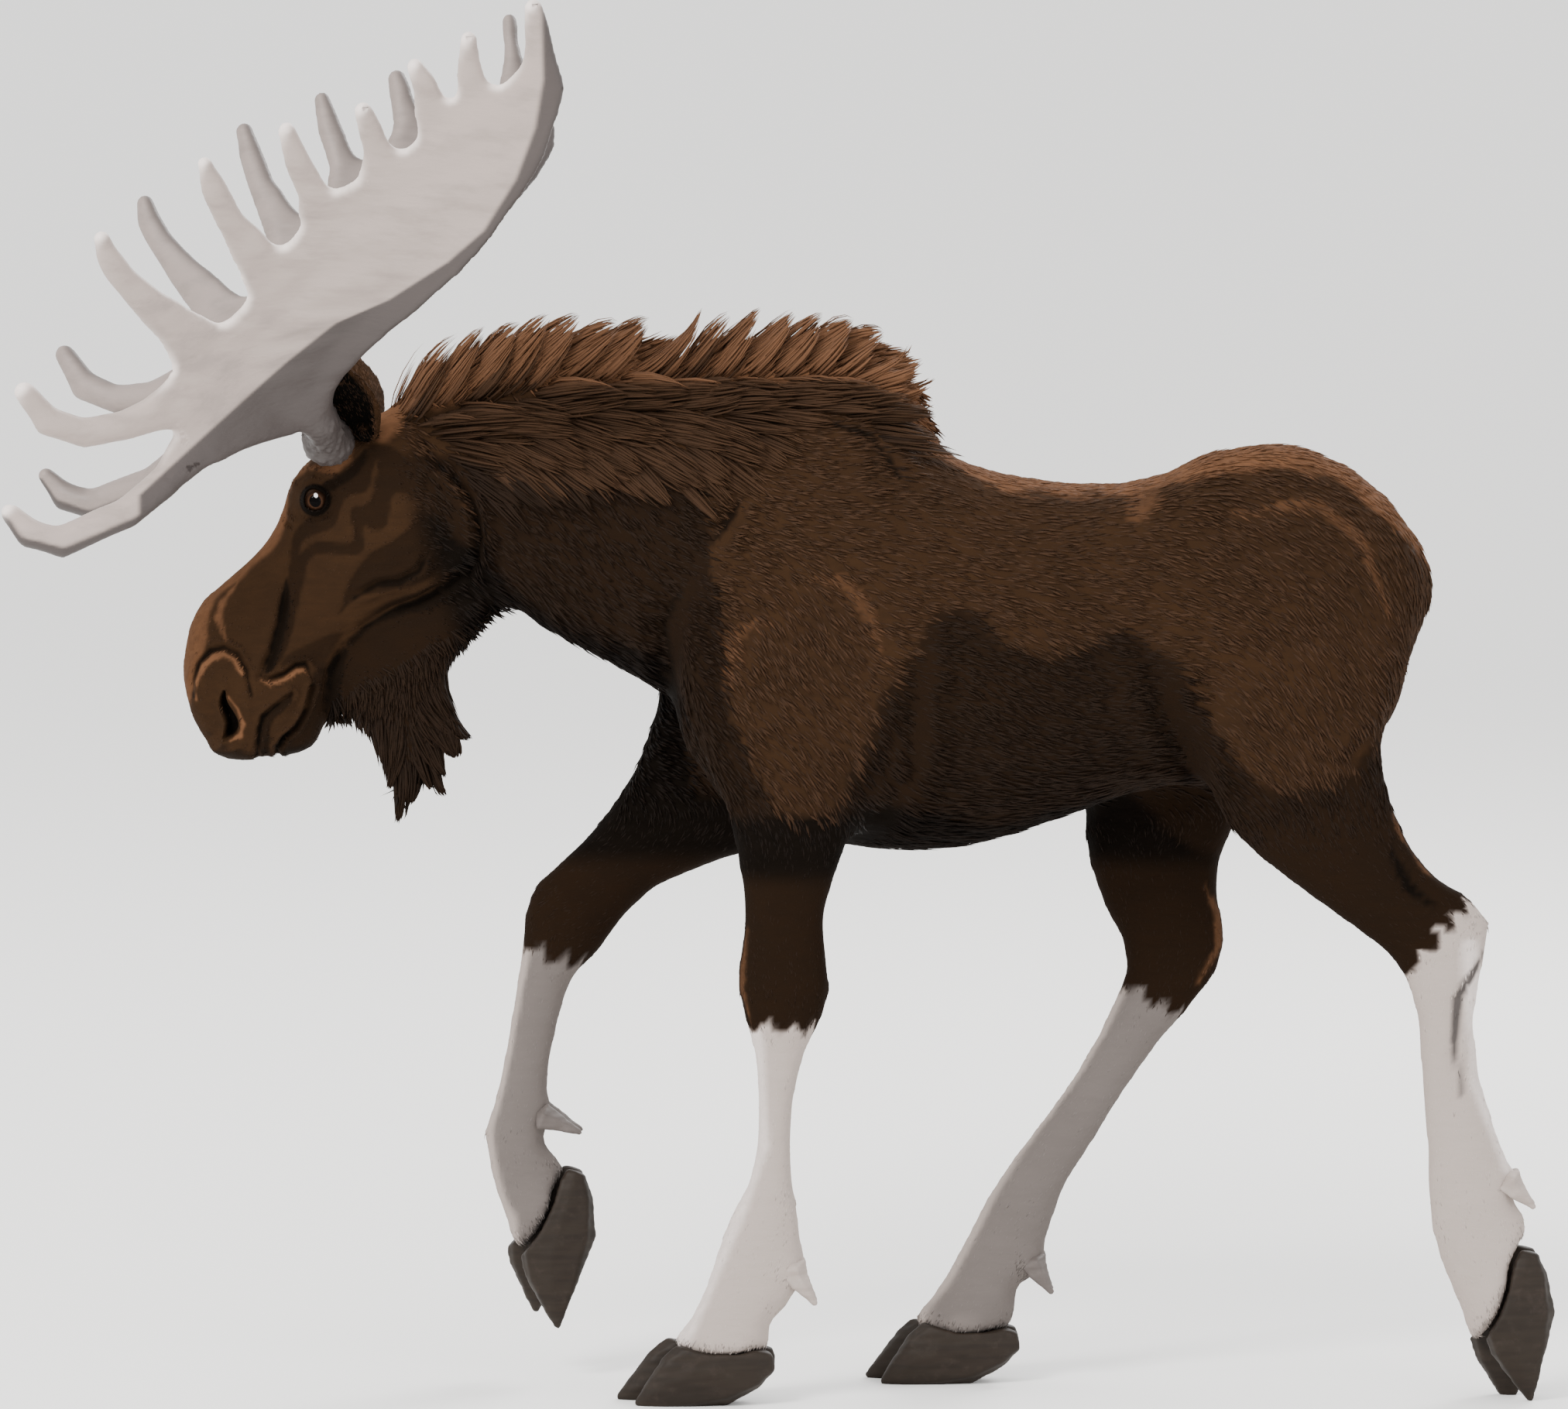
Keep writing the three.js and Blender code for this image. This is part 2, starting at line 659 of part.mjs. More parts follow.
function tine(line, thick, curl) {
  const places = line.map(([x, z]) => new THREE.Vector2(x, z));
  places.unshift(places[0].clone().sub(places[1]).setLength(tineRoot).add(places[0]));
  const halves = [line[0][2] * rootShare, ...line.map(([, , half]) => half)];
  const last = places.length - 1;
  const rings = places.map((place, i) => {
    const way = places[Math.min(i + 1, last)].clone().sub(places[Math.max(i - 1, 0)]);
    const reach = new THREE.Vector2(-way.y, way.x).setLength(halves[i]);
    const [a, b] = [place.clone().add(reach), place.clone().sub(reach)];
    const flat = i < 2;
    const half = flat ? palmHalf - 2 : Math.min(0.75 * halves[i], thick);
    return sheetRing([[...a], [...b], half, flat ? 0.6 : 1]);
  });
  return new SheetForm(rings, 6, line.length, 0.8, curl).solid();
}

// The antler is parted at its main fork, in front of which are the brow tines.
const browFork = sidePlane([-985, 1760], [-1100, 1930]);

function antlerPieces(hand) {
  const curled = [...palmTines, ...lastTines[hand]].map((line, i) => [line, 8 + 14 * (i % 2)]);
  curled.at(-1)[1] = lastBend[hand];
  const palmPart = [palmOf(hand).solid(), ...curled.map(([line, curl]) => tine(line, 14, curl))];
  const browPart = [browPalm.solid(), ...browTines.map((line, i) => tine(line, 21, 16 * i - 10))];
  const whole = joined([...palmPart, ...browPart]);
  return { palm: largest(browFork.behind(whole)), brow: largest(browFork.ahead(whole)) };
}

// ---------------------------------------------------------------- ears, eyes, nostrils, mouth
// The ear's axis, and the way its cup opens, for the left side.
const earRoot = vec(-764, -76, 1778);
const earAxis = vec(-0.2, -0.62, 0.75).normalize();
const earPlug = 30; // radius of what fills the bottom of the cup
const earOpen = vec(-0.35, -0.72, -0.3);
earOpen.addScaledVector(earAxis, -earOpen.dot(earAxis)).normalize();
const earWide = earAxis.clone().cross(earOpen);

// Half width and half thickness from root to tip, as shares of the ear's length.
const earOutline = [
  [0, 0.13, 0.13],
  [0.14, 0.18, 0.15],
  [0.34, 0.24, 0.15],
  [0.56, 0.26, 0.12],
  [0.76, 0.2, 0.08],
  [0.9, 0.11, 0.05],
  [1, 0.02, 0.015],
];

function earForm(wall, shift) {
  return new Form(
    earOutline.map(([share, wide, thick]) => {
      const centre = earRoot
        .clone()
        .addScaledVector(earAxis, share * earLength)
        .addScaledVector(earOpen, shift);
      const reach = earWide.clone().multiplyScalar(Math.max(wide * earLength - wall, 1.5));
      return {
        a: centre.clone().add(reach),
        b: centre.clone().sub(reach),
        half: Math.max(thick * earLength - wall, 1),
        egg: 0,
        square: 1,
      };
    }),
    10,
    7,
  );
}

function ear() {
  const plug = new THREE.SphereGeometry(earPlug, 10, 6).translate(...earRoot);
  const hollow = earForm(7, 17).solid().subtract(solidOf(plug));
  return earForm(0, 0).solid().subtract(hollow);
}

// The skin of a form beside a point of the side view, on the left.
function skinBeside(form, [x, z]) {
  let best = { miss: Infinity };
  for (let t = 0; t <= 1; t += 0.01)
    for (let angle = -80; angle <= 80; angle += 4) {
      const point = form.at(t, degrees(angle));
      const miss = Math.hypot(point.x - x, point.z - z);
      if (miss < best.miss) best = { miss, point };
    }
  return best.point;
}

const eyeCentre = [eyeAt[0], skinBeside(head, eyeAt).y + eyeRadius * 0.62, eyeAt[1]];
const eyeball = (side, grow = 0) =>
  solidOf(
    new THREE.SphereGeometry(eyeRadius + grow, 12, 8)
      .rotateX(Math.PI / 2)
      .translate(eyeCentre[0], eyeCentre[1] * side, eyeCentre[2]),
  );

// The lids wrap the eyeball and open in an almond that slants down towards the nose.
function lidOpening(side) {
  const almond = new THREE.Shape();
  const long = eyeRadius * 0.98;
  const tall = eyeRadius * 0.62;
  almond.moveTo(-long, 0);
  almond.quadraticCurveTo(0, tall * 2.1, long, 0);
  almond.quadraticCurveTo(0, -tall * 1.7, -long, 0);
  const prism = new THREE.ExtrudeGeometry(almond, { depth: 80, bevelEnabled: false, curveSegments: 7 })
    .rotateX(Math.PI / 2)
    .rotateY(degrees(-28));
  prism.translate(eyeCentre[0], side > 0 ? eyeCentre[1] : -eyeCentre[1] + 80, eyeCentre[2]);
  return solidOf(prism);
}

const nostrilLine = [
  [-1024, 1322],
  [-1033, 1294],
  [-1020, 1264],
  [-1012, 1244],
  [-1024, 1226],
];
function nostril(side) {
  const reach = -muzzleHalf;
  const rings = nostrilLine.map(([x, z], i) => {
    const wide = [4, 10, 15, 14, 4][i];
    return ring([x - 8, side * (reach - 40), z], [x + 14, side * (reach + 44), z + 4], wide, 0, 1);
  });
  return new Form(rings, 8, 6, 0.2).solid();
}

// The mouth line climbs from behind the lobe of the upper lip round its flap to the corner.
const mouthLine = [
  [-932, 1120],
  [-929, 1188],
  [-921, 1222],
  [-886, 1264],
  [-870, 1312],
  [-874, 1344],
];
const lipDepth = 15;
function mouthGroove() {
  const slit = new Form(
    mouthLine.map(([x, z]) => ring([x, -150, z], [x, 150, z], 3, 0, 1)),
    4,
    10,
    0,
  ).solid();
  return slit.subtract(head.solid(-lipDepth));
}

// ---------------------------------------------------------------- hair: mane and bell
// A flat tapered lock from its root, over a bend, to its tip; facing is the way its flat side looks.
function lock(root, bend, tip, width, thickness, facing) {
  const shares = [
    [0, 0.9],
    [0.5, 0.95],
    [1, 0.06],
  ];
  const line = new THREE.QuadraticBezierCurve3(root, bend, tip);
  const rings = shares.map(([t, share]) => {
    const centre = line.getPoint(t);
    const reach = line
      .getTangent(t)
      .cross(facing)
      .normalize()
      .multiplyScalar((width * share) / 2);
    return {
      a: centre.clone().add(reach),
      b: centre.clone().sub(reach),
      half: (thickness * share) / 2,
      egg: 0,
      square: 1,
    };
  });
  return new Form(rings, 4, 2, 0.1).solid();
}

// Locks over a form, in rows from the crest down both sides; they lie towards the tail and lift off at
// their tips. short is how much shorter, and erect how many degrees steeper, the first ones are; low is how
// much of the run the rows below the crest have.
function maneLocks(form, { from, to, count, short = 0, erect = 0, low = 1 }, seed) {
  const draw = draws(seed);
  const locks = [];
  for (const { angle, length, lift, fall, wide, upright } of maneRows) {
    const run = upright ? 1 : low;
    const inRow = Math.round(count * run * (upright ? 1 : lowShare));
    for (let i = 0; i < inRow; i++) {
      const share = (i + 0.5 + 0.15 * draw()) / inRow;
      const first = Math.max(0, 1 - share * 2.5);
      const t = from + (to - from) * share * run;
      const turn = degrees(angle + 3 * draw());
      const skin = form.at(t, turn);
      const out = form.normal(t, turn);
      const along = form.at(t + 0.02, turn).sub(form.at(t - 0.02, turn));
      along.z -= fall * along.length();
      along.normalize();
      const reach = length * (1 + 0.1 * draw()) * (1 - short * first);
      const rise = Math.sin(degrees(lift + erect * first)) * reach;
      const back = Math.cos(degrees(lift + erect * first)) * reach;
      const root = skin.clone().addScaledVector(out, -rootDepth).addScaledVector(along, -10);
      const tip = skin.clone().addScaledVector(along, back).addScaledVector(out, rise);
      const bend = skin.clone().addScaledVector(along, back * 0.42).addScaledVector(out, 16 + rise * 0.5);
      locks.push(lock(root, bend, tip, wide + 8 * draw(), lockThick, upright ? vec(0, 1, 0) : out));
    }
  }
  return locks;
}

// Rows by angle round the neck. The crest's own locks stand on edge and the others lie flat.
const lockThick = 27;
const rootDepth = 24; // how deep a lock is sunk in the skin
const lowShare = 0.75; // locks in a low row for each one in the crest
const maneRows = [
  { angle: 90, length: maneLength, lift: 24, fall: 0, wide: 76, upright: true },
  { angle: 73, length: maneLength, lift: 17, fall: 0.1, wide: 84 },
  { angle: 107, length: maneLength, lift: 17, fall: 0.1, wide: 84 },
  { angle: 52, length: maneLength * 0.9, lift: 9, fall: 0.24, wide: 88 },
  { angle: 128, length: maneLength * 0.9, lift: 9, fall: 0.24, wide: 88 },
];
const neckMane = maneLocks(neck, { from: 0.02, to: 0.62, count: 8, short: 0.45, erect: 22 }, 11);
const withersMane = [
  ...maneLocks(neck, { from: 0.74, to: 0.96, count: 3, short: 0.35, erect: 14 }, 31),
  ...maneLocks(torso, { from: 0.15, to: 0.33, count: 5, low: 0.62 }, 23),
];

// The bell: a fold of skin under the throat that ends in hanging locks.
const bellCore = new Form(
  [
    sideRing([-800, 1430], [-540, 1560], 46),
    sideRing([-838, 1330], [-500, 1470], 46),
    sideRing([-838, 1268], [-560, 1420], 46),
    sideRing([-790, 1240], [-606, 1366], 42),
    sideRing([-752, 1206], [-622, 1310], 37),
    sideRing([-728, 1166], [-614, 1262], 31),
    sideRing([-716, 1136], [-622, 1226], 20),
  ],
  8,
  6,
);
const bellTips = [
  [-730, 1118],
  [-708, 1058],
  [-676, 1092],
  [-628, 1104],
  [-634, 1148],
  [-606, 1174],
  [-580, 1212],
];
function bellLocks() {
  const draw = draws(5);
  return bellTips.flatMap(([x, z], i) =>
    [-1, 1].map((row) => {
      const share = (i + 0.5) / bellTips.length;
      const root = vec(-728 + 108 * share, row * 12, 1186 + 92 * share);
      const tip = vec(x + 8 * draw(), row * 17 + 4 * draw(), z + 10 * draw());
      const bend = root.clone().lerp(tip, 0.55).add(vec(-9, row * 12, 0));
      return lock(root, bend, tip, 40 + 4 * draw(), 22, vec(0, 1, 0));
    }),
  );
}

// ---------------------------------------------------------------- tail
const tail = new Form(
  [
    sideRing([1140, 1616], [1150, 1550], 32),
    sideRing([1176, 1588], [1152, 1530], 34),
    sideRing([1198, 1536], [1164, 1500], 29),
    sideRing([1202, 1486], [1176, 1468], 20),
    sideRing([1196, 1440], [1186, 1438], 6),
  ],
  8,
  5,
);

// ---------------------------------------------------------------- parting and fitting
const headCut = sidePlane([-735, 1862], [-600, 1400]);
const neckCut = sidePlane([-176, 1990], [-266, 1240]);

const limbForms = legs.map((leg) => new Form(leg.rings, 10, 22, 0.3));
const roots = legs.map((leg, i) => leg.top.ahead(limbForms[i].solid()));
const trunk = joined([torso.solid(), neck.solid(), headFlesh(), ...roots]);
const trunkGrown = joined([torso.solid(gap), neck.solid(gap)]);

const pieces = new Map(); // name to [solid, material]

const eyesGrown = bothSides((side) => eyeball(side, gap));
const lids = bothSides((side) =>
  eyeball(side, lidThick).subtract(lidOpening(side)),
);
const headWhole = joined([headCut.behind(trunk), headFlesh(), ...lids]);
const headCutters = [...eyesGrown, ...bothSides(nostril), mouthGroove()];
const headSolid = largest(without(headWhole, headCutters));
pieces.set("head", [headSolid, "coat"]);

const behindHead = headCut.ahead(trunk);
const headGrown = headFlesh(gap);
const neckHair = neckMane.map((hair) => headCut.ahead(neckCut.behind(hair)));
const neckBody = joined([neckCut.behind(behindHead), ...neckHair]);
pieces.set("neck", [largest(neckBody.subtract(headGrown)), "coat"]);

const torsoBody = joined([neckCut.ahead(behindHead), ...withersMane.map(neckCut.ahead)]);
pieces.set("torso", [largest(torsoBody), "coat"]);

const bell = joined([bellCore.solid(), ...bellLocks()]);
pieces.set("bell", [largest(without(bell, [headGrown, neck.solid(gap)])), "coat"]);
pieces.set("tail", [largest(tail.solid().subtract(torso.solid(gap))), "coat"]);

// The right antler sits turned a few degrees back, as a grown pair never matches.
const antlerTurn = new THREE.Matrix4()
  .makeTranslation(pedicle[0], -pedicleReach, pedicle[1])
  .multiply(new THREE.Matrix4().makeRotationZ(degrees(antlerYaw)))
  .multiply(new THREE.Matrix4().makeTranslation(-pedicle[0], pedicleReach, -pedicle[1]));
const earSolid = largest(without(ear(), [headGrown, neck.solid(gap)]));
for (const [word, side] of [
  ["left", 1],
  ["right", -1],
]) {
  const turned = (solid) => (side > 0 ? solid : solid.mirror([0, 1, 0]));
  pieces.set(`eye_${word}`, [eyeball(side), "eye"]);
  pieces.set(`ear_${word}`, [turned(earSolid), "coat"]);
  const grown = (solid) => turned(side > 0 ? solid : placed(solid, antlerTurn));
  const { palm: palmSolid, brow: browSolid } = antlerPieces(word);
  pieces.set(`antler_${word}_palm`, [largest(grown(palmSolid).subtract(headGrown)), "antler"]);
  pieces.set(`antler_${word}_brow`, [grown(browSolid), "antler"]);
}

legs.forEach((leg, i) => {
  const form = limbForms[i];
  const matrix = footPlacement(leg.foot);
  const hairSide = placed(overCoronet(-gap), matrix);
  const free = leg.top.behind(form.solid()).subtract(trunkGrown);
  const shank = leg.middle.behind(free);
  pieces.set(`${leg.name}_upper`, [largest(leg.middle.ahead(free)), "coat"]);
  pieces.set(`${leg.name}_lower`, [largest(shank.intersect(hairSide)), "stocking"]);
  for (const [word, spread, reach] of [
    ["outer", -leg.side, 1],
    ["inner", leg.side, innerReach],
  ]) {
    pieces.set(`${leg.name}_claw_${word}`, [claw(leg.foot, spread, reach), "hoof"]);
    const spur = dewclaw(leg.dewclaw, leg.foot.y + 25 * spread);
    pieces.set(`${leg.name}_dewclaw_${word}`, [largest(spur.subtract(form.solid(gap))), "hoof"]);
  }
});

// ---------------------------------------------------------------- materials and the finished model
const materials = {
  coat: { color: 0x3f2d20, roughness: 0.85 },
  stocking: { color: 0xc9bdb8, roughness: 0.85 },
  antler: { color: 0xc9bdb8, roughness: 0.55 },
  hoof: { color: 0x49403a, roughness: 0.45 },
  eye: { color: 0x2a1a10, roughness: 0.05 },
};
const finishes = Object.fromEntries(
  Object.entries(materials).map(([name, look]) => [
    name,
    new THREE.MeshStandardMaterial({ ...look, metalness: 0 }),
  ]),
);

function meshOf(name, solid, finish) {
  const { vertProperties, triVerts, numProp, numVert } = solid.getMesh();
  const positions = new Float32Array(numVert * 3);
  for (let i = 0; i < numVert; i++)
    positions.set(vertProperties.subarray(i * numProp, i * numProp + 3), i * 3);
  const geometry = new THREE.BufferGeometry()
    .setAttribute("position", new THREE.BufferAttribute(positions, 3))
    .setIndex(new THREE.BufferAttribute(triVerts, 1));
  const mesh = new THREE.Mesh(geometry, finishes[finish]);
  mesh.name = name;
  return mesh;
}

const moose = new THREE.Group();
for (const [name, [solid, finish]] of pieces) moose.add(meshOf(name, solid, finish));

export default moose;
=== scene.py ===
import bpy
import math
import numpy as np
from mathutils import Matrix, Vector


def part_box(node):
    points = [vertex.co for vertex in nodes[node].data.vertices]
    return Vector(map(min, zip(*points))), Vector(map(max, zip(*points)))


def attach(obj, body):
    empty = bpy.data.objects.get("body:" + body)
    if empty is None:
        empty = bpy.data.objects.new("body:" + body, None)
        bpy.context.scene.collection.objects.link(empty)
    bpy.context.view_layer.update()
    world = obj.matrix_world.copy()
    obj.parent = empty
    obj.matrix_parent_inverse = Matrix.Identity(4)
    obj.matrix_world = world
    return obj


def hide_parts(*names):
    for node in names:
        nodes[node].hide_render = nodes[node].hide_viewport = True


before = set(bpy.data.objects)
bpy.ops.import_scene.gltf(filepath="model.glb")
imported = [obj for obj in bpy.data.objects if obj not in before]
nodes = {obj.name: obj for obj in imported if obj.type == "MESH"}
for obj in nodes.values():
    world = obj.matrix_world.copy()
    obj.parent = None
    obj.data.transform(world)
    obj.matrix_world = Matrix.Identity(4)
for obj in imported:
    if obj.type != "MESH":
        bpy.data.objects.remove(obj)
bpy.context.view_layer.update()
root = "root"
hands = {"left": -1, "right": 1}  # which way each side lies along y


view = {
    "distance": 25.0, "height": 3.638, "target": 1.275, "near": 0.5, "far": 400,
    "lens": 312.5, "sensor": 36.0,  # mm
}
floorLook = {"radius": 160.0, "edges": 96, "tone": (243, 242, 240)}
lightRig = {
    "key": {"at": (-5.5, -7.5, 8.0), "size": 4.0, "watts": 1350, "tone": (1.0, 0.985, 0.96)},
    "fill": {"at": (7.5, -8.0, 3.2), "size": 6.0, "watts": 190, "tone": (0.95, 0.97, 1.0)},
    "rim": {"at": (4.5, 7.0, 7.0), "size": 4.0, "watts": 760, "tone": (1.0, 1.0, 1.0)},
    "sky": 1.8,
    "aim": (0, 0, 1.2),
}


def aimAt(item, target):
    item.rotation_euler = (Vector(target) - item.location).to_track_quat("-Z", "Y").to_euler()


def placeCamera():
    camera = bpy.data.objects.new("camera", bpy.data.cameras.new("camera"))
    camera.location = (0, -view["distance"], view["height"])
    aimAt(camera, (0, 0, view["target"]))
    camera.data.sensor_fit = "HORIZONTAL"
    camera.data.sensor_width = view["sensor"]
    camera.data.lens = view["lens"]
    camera.data.clip_start = view["near"]
    camera.data.clip_end = view["far"]
    bpy.context.scene.collection.objects.link(camera)
    bpy.context.scene.camera = camera


def placeLights():
    for name in ("key", "fill", "rim"):
        rig = lightRig[name]
        lamp = bpy.data.lights.new(name, "AREA")
        lamp.shape = "DISK"
        lamp.size = rig["size"]
        lamp.energy = rig["watts"]
        lamp.color = rig["tone"]
        item = bpy.data.objects.new(name, lamp)
        item.location = rig["at"]
        aimAt(item, lightRig["aim"])
        bpy.context.scene.collection.objects.link(item)
    world = bpy.data.worlds.new("studio")
    world.use_nodes = True
    sky = world.node_tree.nodes["Background"]
    sky.inputs["Color"].default_value = (1, 1, 1, 1)
    sky.inputs["Strength"].default_value = lightRig["sky"]
    bpy.context.scene.world = world


def tone(r, g, b):  # screen colour, 0 to 255, as a linear one
    def linear(v):
        v = v / 255
        return v / 12.92 if v <= 0.04045 else ((v + 0.055) / 1.055) ** 2.4
    return (linear(r), linear(g), linear(b), 1.0)


def tones(**shades):
    return {name: tone(*shade) for name, shade in shades.items()}


class Signal:  # a socket that can be added, multiplied and so on
    def __init__(self, shader, socket):
        self.shader = shader
        self.socket = socket

    def maths(self, operation, other=0.0, swapped=False):
        first, second = (other, self) if swapped else (self, other)
        return self.shader.node("ShaderNodeMath", {"operation": operation}, {0: first, 1: second})

    def __add__(self, other): return self.maths("ADD", other)
    def __radd__(self, other): return self.maths("ADD", other, True)
    def __sub__(self, other): return self.maths("SUBTRACT", other)
    def __rsub__(self, other): return self.maths("SUBTRACT", other, True)
    def __mul__(self, other): return self.maths("MULTIPLY", other)
    def __rmul__(self, other): return self.maths("MULTIPLY", other, True)
    def __truediv__(self, other): return self.maths("DIVIDE", other)
    def __rtruediv__(self, other): return self.maths("DIVIDE", other, True)
    def __pow__(self, other): return self.maths("POWER", other)


class Finish:  # a material and the one way that its nodes are made
    def __init__(self, name, **fixed):
        self.material = bpy.data.materials.new(name)
        self.material.use_nodes = True
        self.tree = self.material.node_tree
        self.surface = self.tree.nodes["Principled BSDF"]
        for socket, value in fixed.items():
            self.surface.inputs[socket.replace("_", " ")].default_value = value

    def node(self, kind, settings=None, sockets=None, out=0):
        made = self.tree.nodes.new(kind)
        for name, value in (settings or {}).items():
            setattr(made, name, value)
        for key, value in (sockets or {}).items():
            if isinstance(value, Signal):
                self.tree.links.new(value.socket, made.inputs[key])
            else:
                made.inputs[key].default_value = value
        return Signal(self, made.outputs[out])

    def feed(self, socket, signal):
        self.tree.links.new(signal.socket, self.surface.inputs[socket])

    def masks(self, name):  # the red, green and blue of a mask, each by itself
        whole = self.node("ShaderNodeAttribute", {"attribute_name": name}, None, "Color")
        return [self.node("ShaderNodeSeparateColor", None, {0: whole}, i) for i in range(3)]

    def mixed(self, factor, first, second):  # colours
        return self.node("ShaderNodeMix", {"data_type": "RGBA"}, {0: factor, 6: first, 7: second}, 2)

    def placed(self, scale, turn=(0, 0, 0)):  # object coordinates, scaled
        where = self.node("ShaderNodeTexCoord", out="Object")
        return self.node("ShaderNodeMapping", None, {"Vector": where, "Rotation": turn, "Scale": scale})

    def noise(self, scale, detail=4.0, rough=0.55, at=None):
        where = at or self.placed((1, 1, 1))
        sockets = {"Vector": where, "Scale": scale, "Detail": detail, "Roughness": rough}
        return self.node("ShaderNodeTexNoise", None, sockets)

    def stretch(self, signal, low, high):  # soft step from low to high
        return self.node("ShaderNodeMapRange", {"interpolation_type": "SMOOTHSTEP"},
                         {"Value": signal, "From Min": low, "From Max": high})

    def bump(self, height, strength, distance):
        sockets = {"Height": height, "Strength": strength, "Distance": distance}
        return self.node("ShaderNodeBump", None, sockets)


def chooseOnly(item):
    bpy.ops.object.select_all(action="DESELECT")
    item.select_set(True)
    bpy.context.view_layer.objects.active = item


def joinedCopy(names, label):  # one welded mesh of several nodes
    copies = []
    for name in names:
        copy = nodes[name].copy()
        copy.data = nodes[name].data.copy()
        copy.parent = None
        for key in list(copy.keys()):
            del copy[key]
        bpy.context.scene.collection.objects.link(copy)
        copies.append(copy)
    chooseOnly(copies[0])
    for copy in copies:
        copy.select_set(True)
    if len(copies) > 1:
        bpy.ops.object.join()
    whole = bpy.context.view_layer.objects.active
    whole.name = label
    whole.data.name = label
    bpy.ops.object.mode_set(mode="EDIT")
    bpy.ops.mesh.select_all(action="SELECT")
    bpy.ops.mesh.remove_doubles(threshold=1e-5)
    bpy.ops.object.mode_set(mode="OBJECT")
    whole.data.materials.clear()
    return whole


def pointsOf(mesh):
    flat = np.empty(len(mesh.vertices) * 3, np.float32)
    mesh.vertices.foreach_get("co", flat)
    return flat.reshape(-1, 3).astype(float)


def normalsOf(mesh):
    flat = np.empty(len(mesh.vertices) * 3, np.float32)
    mesh.vertex_normals.foreach_get("vector", flat)
    return flat.reshape(-1, 3).astype(float)


def setPoints(mesh, points):
    mesh.vertices.foreach_set("co", points.astype(np.float32).ravel())
    mesh.update()


def softStep(value, low, high):
    share = np.clip((value - low) / (high - low), 0, 1)
    return share * share * (3 - 2 * share)


class Relaxer:  # averages a value over each point's neighbours
    def __init__(self, mesh):
        pairs = np.empty(len(mesh.edges) * 2, np.int32)
        mesh.edges.foreach_get("vertices", pairs)
        self.a, self.b = pairs.reshape(-1, 2).T
        self.count = len(mesh.vertices)
        self.degree = np.maximum(np.bincount(np.concatenate([self.a, self.b]), minlength=self.count), 1)

    def average(self, values):
        a, b, count = self.a, self.b, self.count
        sums = [np.bincount(a, column[b], count) + np.bincount(b, column[a], count)
                for column in values.reshape(count, -1).T]
        return (np.stack(sums, 1) / self.degree[:, None]).reshape(values.shape)

    def relax(self, values, rounds, weight=0.5):
        weight = np.asarray(weight, float)
        if values.ndim > 1 and weight.ndim:
            weight = weight[:, None]
        for _ in range(rounds):
            values = values + weight * (self.average(values) - values)
        return values


def smoothForm(mesh, rounds, weight=0.5, keep=14):  # takes facets off and keeps the volume
    relaxer = Relaxer(mesh)
    before = pointsOf(mesh)
    setPoints(mesh, relaxer.relax(before, rounds, weight))
    out = normalsOf(mesh)
    after = pointsOf(mesh)
    lost = relaxer.relax(((before - after) * out).sum(1), keep)
    setPoints(mesh, after + out * lost[:, None])


def voxelRemesh(item, size, overlap):
    mesh = item.data
    setPoints(mesh, pointsOf(mesh) + normalsOf(mesh) * overlap)
    chooseOnly(item)
    mesh.remesh_voxel_size = size
    bpy.ops.object.voxel_remesh()


def dropScraps(item):  # keeps the largest connected shell
    mesh = item.data
    relaxer = Relaxer(mesh)
    label = np.arange(relaxer.count)
    while True:
        lowest = np.minimum(label[relaxer.a], label[relaxer.b])
        fresh = label.copy()
        np.minimum.at(fresh, relaxer.a, lowest)
        np.minimum.at(fresh, relaxer.b, lowest)
        fresh = fresh[fresh]
        if (fresh == label).all():
            break
        label = fresh
    names, sizes = np.unique(label, return_counts=True)
    if len(names) > 1:
        selectPoints(item, label != names[sizes.argmax()])
        bpy.ops.mesh.delete(type="VERT")
        bpy.ops.object.mode_set(mode="OBJECT")


def selectPoints(item, chosen):  # leaves the item in edit mode with these points chosen
    chooseOnly(item)
    bpy.ops.object.mode_set(mode="EDIT")
    bpy.ops.mesh.select_mode(type="VERT")
    bpy.ops.mesh.select_all(action="DESELECT")
    bpy.ops.object.mode_set(mode="OBJECT")
    item.data.vertices.foreach_set("select", chosen)
    bpy.ops.object.mode_set(mode="EDIT")


def refine(item, inside):  # halves the faces whose points are all inside
    selectPoints(item, inside)
    bpy.ops.mesh.select_mode(type="FACE")
    bpy.ops.mesh.subdivide(number_cuts=1)
    bpy.ops.object.mode_set(mode="OBJECT")


def paintMasks(mesh, name, values):  # one colour of masks for each point
    layer = mesh.attributes.new(name, "FLOAT_COLOR", "POINT")
    layer.data.foreach_set("color", values.astype(np.float32).ravel())


def sideView(points):  # side view places in mm as metres in the frame
    return np.array(points, float) / 1000


def lineDistance(places, line):  # from each point to a bent line in the side view, and the share along it
    flat = places[:, [0, 2]]
    line = sideView(line)
    best = np.full(len(flat), np.inf)
    share = np.zeros(len(flat))
    for i, (start, end) in enumerate(zip(line[:-1], line[1:])):
        run = end - start
        t = np.clip(((flat - start) @ run) / (run @ run), 0, 1)
        away = np.linalg.norm(flat - start - t[:, None] * run, axis=1)
        closer = away < best
        best[closer] = away[closer]
        share[closer] = (i + t[closer]) / (len(line) - 1)
    return best, share


def pastLine(places, start, end):  # metres to the left of a line that is seen from the side
    start, end = sideView([start, end])
    run = (end - start) / np.linalg.norm(end - start)
    return (places[:, 2] - start[1]) * run[0] - (places[:, 0] - start[0]) * run[1]


